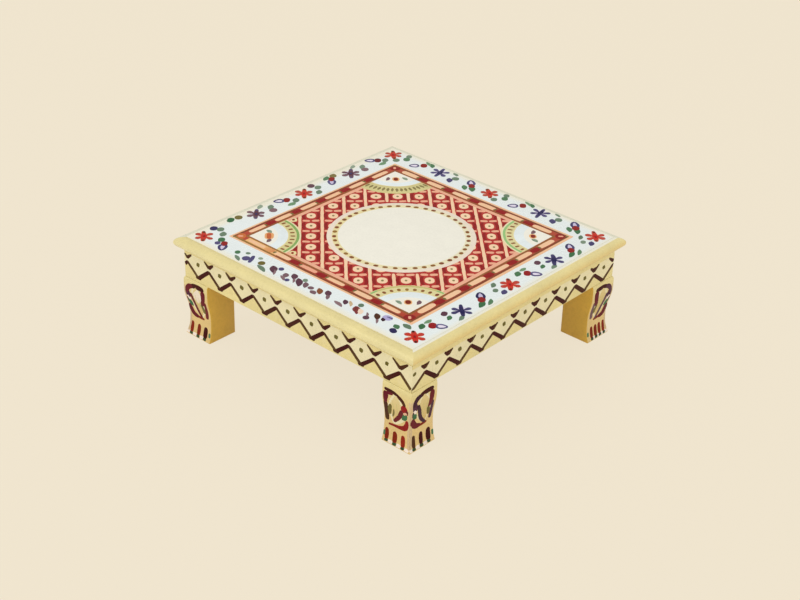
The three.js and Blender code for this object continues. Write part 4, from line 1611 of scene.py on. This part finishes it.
# Bars and inks of the deep faces. Each leg has a face that looks along y, and a second one along x
DEEP_FACE = ((("aubergine", 0.0, 6.0), ("wine", 0.0, 5.0), ("wine", 0.1, 4.6)), ("aubergine", "wine"))
OTHER_FACES = {
    ("back_right", True): (tuple(("umber", tone, 4.6) for tone in (0.0, 0.0, 0.1, 0.2)), ("plum", "wine")),
    ("front_right", True): (
        (("maroon", 0.0, 6.2), ("maroon", 0.1, 5.2), ("maroon", 0.35, 4.8)),
        ("aubergine", "wine"),
    ),
    ("front_left", False): (
        (("maroon", 0.0, 6.0), ("umber", 0.0, 5.0), ("umber", 0.1, 4.6)),
        ("wine", "wine"),
    ),
}


class STOOL_OT_leg_pattern(bpy.types.Operator):
    """Legs: the painted leaf, its outlines, the bars and the toes on each of the eight outer faces"""

    bl_idname = "stool.leg_pattern"
    bl_label = "Leg pattern"

    def execute(self, context):
        parts = defaultdict(list)
        for corner in CORNERS:
            name, sx, sy = corner
            for second_face in (False, True):
                pots = defaultdict(Painting)
                face = (name, second_face)
                if face == ("front_right", False):
                    paint_red_leg(pots)
                else:
                    paint_deep_leg(pots, *OTHER_FACES.get(face, DEEP_FACE))
                if face == ("front_left", False):
                    pots["halo"].leaf((14.4, 47.0), (15, 12.0), math.pi / 2, 0, 0.1, (0.0, 0.0), 12)
                turned_over = (sx * sy > 0) != second_face
                for colour_name, painting in pots.items():
                    parts[colour_name] += laid(painting, on_leg(corner, second_face), turned_over)
        make_painted("legs", parts)
        return {"FINISHED"}


# The stage


def seen(tree):
    """One for rays from the camera, from a glossy surface and through a clear one, and nothing for others."""
    path = node(tree, "ShaderNodeLightPath")
    first = reckon(tree, "MAXIMUM", path.outputs["Is Camera Ray"], path.outputs["Is Glossy Ray"])
    return reckon(tree, "MAXIMUM", first, path.outputs["Is Transmission Ray"])


def stage_finish(name, colour, share):
    """A surface that shows a plain colour to the camera and in reflections, and takes a soft shadow."""
    material = bpy.data.materials.new(name)
    material.use_nodes = True
    tree = material.node_tree
    tree.nodes.clear()
    plain = node(tree, "ShaderNodeEmission", {"Color": linear(colour), "Strength": 1.0})
    matt = node(tree, "ShaderNodeBsdfDiffuse", {"Color": linear(shade(colour, 1.05))})
    part = reckon(tree, "MULTIPLY", seen(tree), share)
    mixed = node(tree, "ShaderNodeMixShader", {0: part, 1: matt.outputs[0], 2: plain.outputs[0]})
    out = node(tree, "ShaderNodeOutputMaterial")
    tree.links.new(mixed.outputs[0], out.inputs[0])
    return material


def area_lamp(name, place, power, tint):
    """A large square lamp that faces the stool."""
    lamp = bpy.data.lights.new(name, "AREA")
    lamp.color = tint
    lamp.shape, lamp.size, lamp.energy = "SQUARE", LAMP_SIZE, power
    holder = bpy.data.objects.new(name, lamp)
    bpy.context.scene.collection.objects.link(holder)
    holder.location = place
    holder.rotation_mode = "QUATERNION"
    holder.rotation_quaternion = (Vector(LAMP_AIM) - Vector(place)).to_track_quat("-Z", "Y")


class STOOL_OT_stage(bpy.types.Operator):
    """Stage: the pale floor, even light, two large lamps and the camera"""

    bl_idname = "stool.stage"
    bl_label = "Stage"

    def execute(self, context):
        stage = context.scene.stool_stage
        self.make_floor(stage)
        self.light_sky(context.scene, stage)
        area_lamp("key_lamp", KEY_PLACE, stage.key, WHITE_LIGHT)
        area_lamp("fill_lamp", FILL_PLACE, stage.fill, WARM_LIGHT)
        self.place_camera(context.scene, stage)
        return {"FINISHED"}

    @staticmethod
    def make_floor(stage):
        outline = circle(FLOOR_RADIUS, FLOOR_SIDES)
        points, faces = skin(np.stack([at_level(outline, level) for level in (-FLOOR_DEPTH, 0.0)]))
        mesh = bpy.data.meshes.new("floor")
        mesh.from_pydata(points.tolist(), [], faces)
        mesh.materials.append(stage_finish("floor_paper", tuple(stage.backdrop), FLOOR_PLAINNESS))
        floor = bpy.data.objects.new("floor", mesh)
        bpy.context.scene.collection.objects.link(floor)

    @staticmethod
    def light_sky(scene, stage):
        world = bpy.data.worlds.new("studio")
        world.use_nodes = True
        tree = world.node_tree
        tree.nodes.clear()
        even = node(tree, "ShaderNodeBackground", {"Color": (1.0, 0.99, 0.97, 1.0), "Strength": stage.sky})
        plain = node(tree, "ShaderNodeBackground", {"Color": linear(tuple(stage.backdrop)), "Strength": 1.0})
        mixed = node(tree, "ShaderNodeMixShader", {0: seen(tree), 1: even.outputs[0], 2: plain.outputs[0]})
        out = node(tree, "ShaderNodeOutputWorld")
        tree.links.new(mixed.outputs[0], out.inputs[0])
        scene.world = world

    @staticmethod
    def place_camera(scene, stage):
        """The camera looks at the aim along its azimuth and elevation, rolled, then slid in its own plane."""
        a, e = stage.azimuth, stage.elevation
        back = Vector((math.sin(a) * math.cos(e), -math.cos(a) * math.cos(e), math.sin(e)))
        right = (-back).cross(Vector((0, 0, 1))).normalized()
        up = right.cross(-back)
        across = right * math.cos(stage.roll) + up * math.sin(stage.roll)
        above = -right * math.sin(stage.roll) + up * math.cos(stage.roll)
        aim = Vector((0, 0, stage.aim_height))
        place = aim + back * stage.distance - across * stage.slide - above * stage.sink
        data = bpy.data.cameras.new("camera")
        data.lens, data.sensor_width = stage.lens, 36
        data.clip_start, data.clip_end = 0.05, 50
        camera = bpy.data.objects.new("camera", data)
        scene.collection.objects.link(camera)
        turn = Matrix((across, above, back)).transposed().to_4x4()
        camera.matrix_world = Matrix.Translation(place) @ turn
        scene.camera = camera
        scene.view_settings.view_transform = "Standard"


class STOOL_PT_panel(bpy.types.Panel):
    """Lists the pieces of the stool and its settings"""

    bl_idname = "STOOL_PT_panel"
    bl_label = "Stool"
    bl_space_type = "VIEW_3D"
    bl_region_type = "UI"
    bl_category = "Stool"

    def draw(self, context):
        for operator in OPERATORS:
            self.layout.operator(operator.bl_idname)
        for group in (context.scene.stool_sizes, context.scene.stool_paints, context.scene.stool_stage):
            box = self.layout.box()
            for key in group.__annotations__:
                box.prop(group, key)


GROUPS = {"stool_sizes": StoolSizes, "stool_paints": StoolPaints, "stool_stage": StoolStage}
OPERATORS = (
    STOOL_OT_board,
    STOOL_OT_legs,
    STOOL_OT_joinery,
    STOOL_OT_border,
    STOOL_OT_frame,
    STOOL_OT_lattice,
    STOOL_OT_disc,
    STOOL_OT_fans,
    STOOL_OT_rail_pattern,
    STOOL_OT_leg_pattern,
    STOOL_OT_stage,
)


def register():
    for group in GROUPS.values():
        bpy.utils.register_class(group)
    for name, group in GROUPS.items():
        setattr(bpy.types.Scene, name, PointerProperty(type=group))
    for operator in OPERATORS:
        bpy.utils.register_class(operator)
    bpy.utils.register_class(STOOL_PT_panel)


def unregister():
    bpy.utils.unregister_class(STOOL_PT_panel)
    for operator in reversed(OPERATORS):
        bpy.utils.unregister_class(operator)
    for name in GROUPS:
        delattr(bpy.types.Scene, name)
    for group in reversed(list(GROUPS.values())):
        bpy.utils.unregister_class(group)


def main():
    register()
    for operator in OPERATORS:
        name = operator.bl_idname.split(".")[1]
        getattr(bpy.ops.stool, name)()


if __name__ == "__main__":
    main()
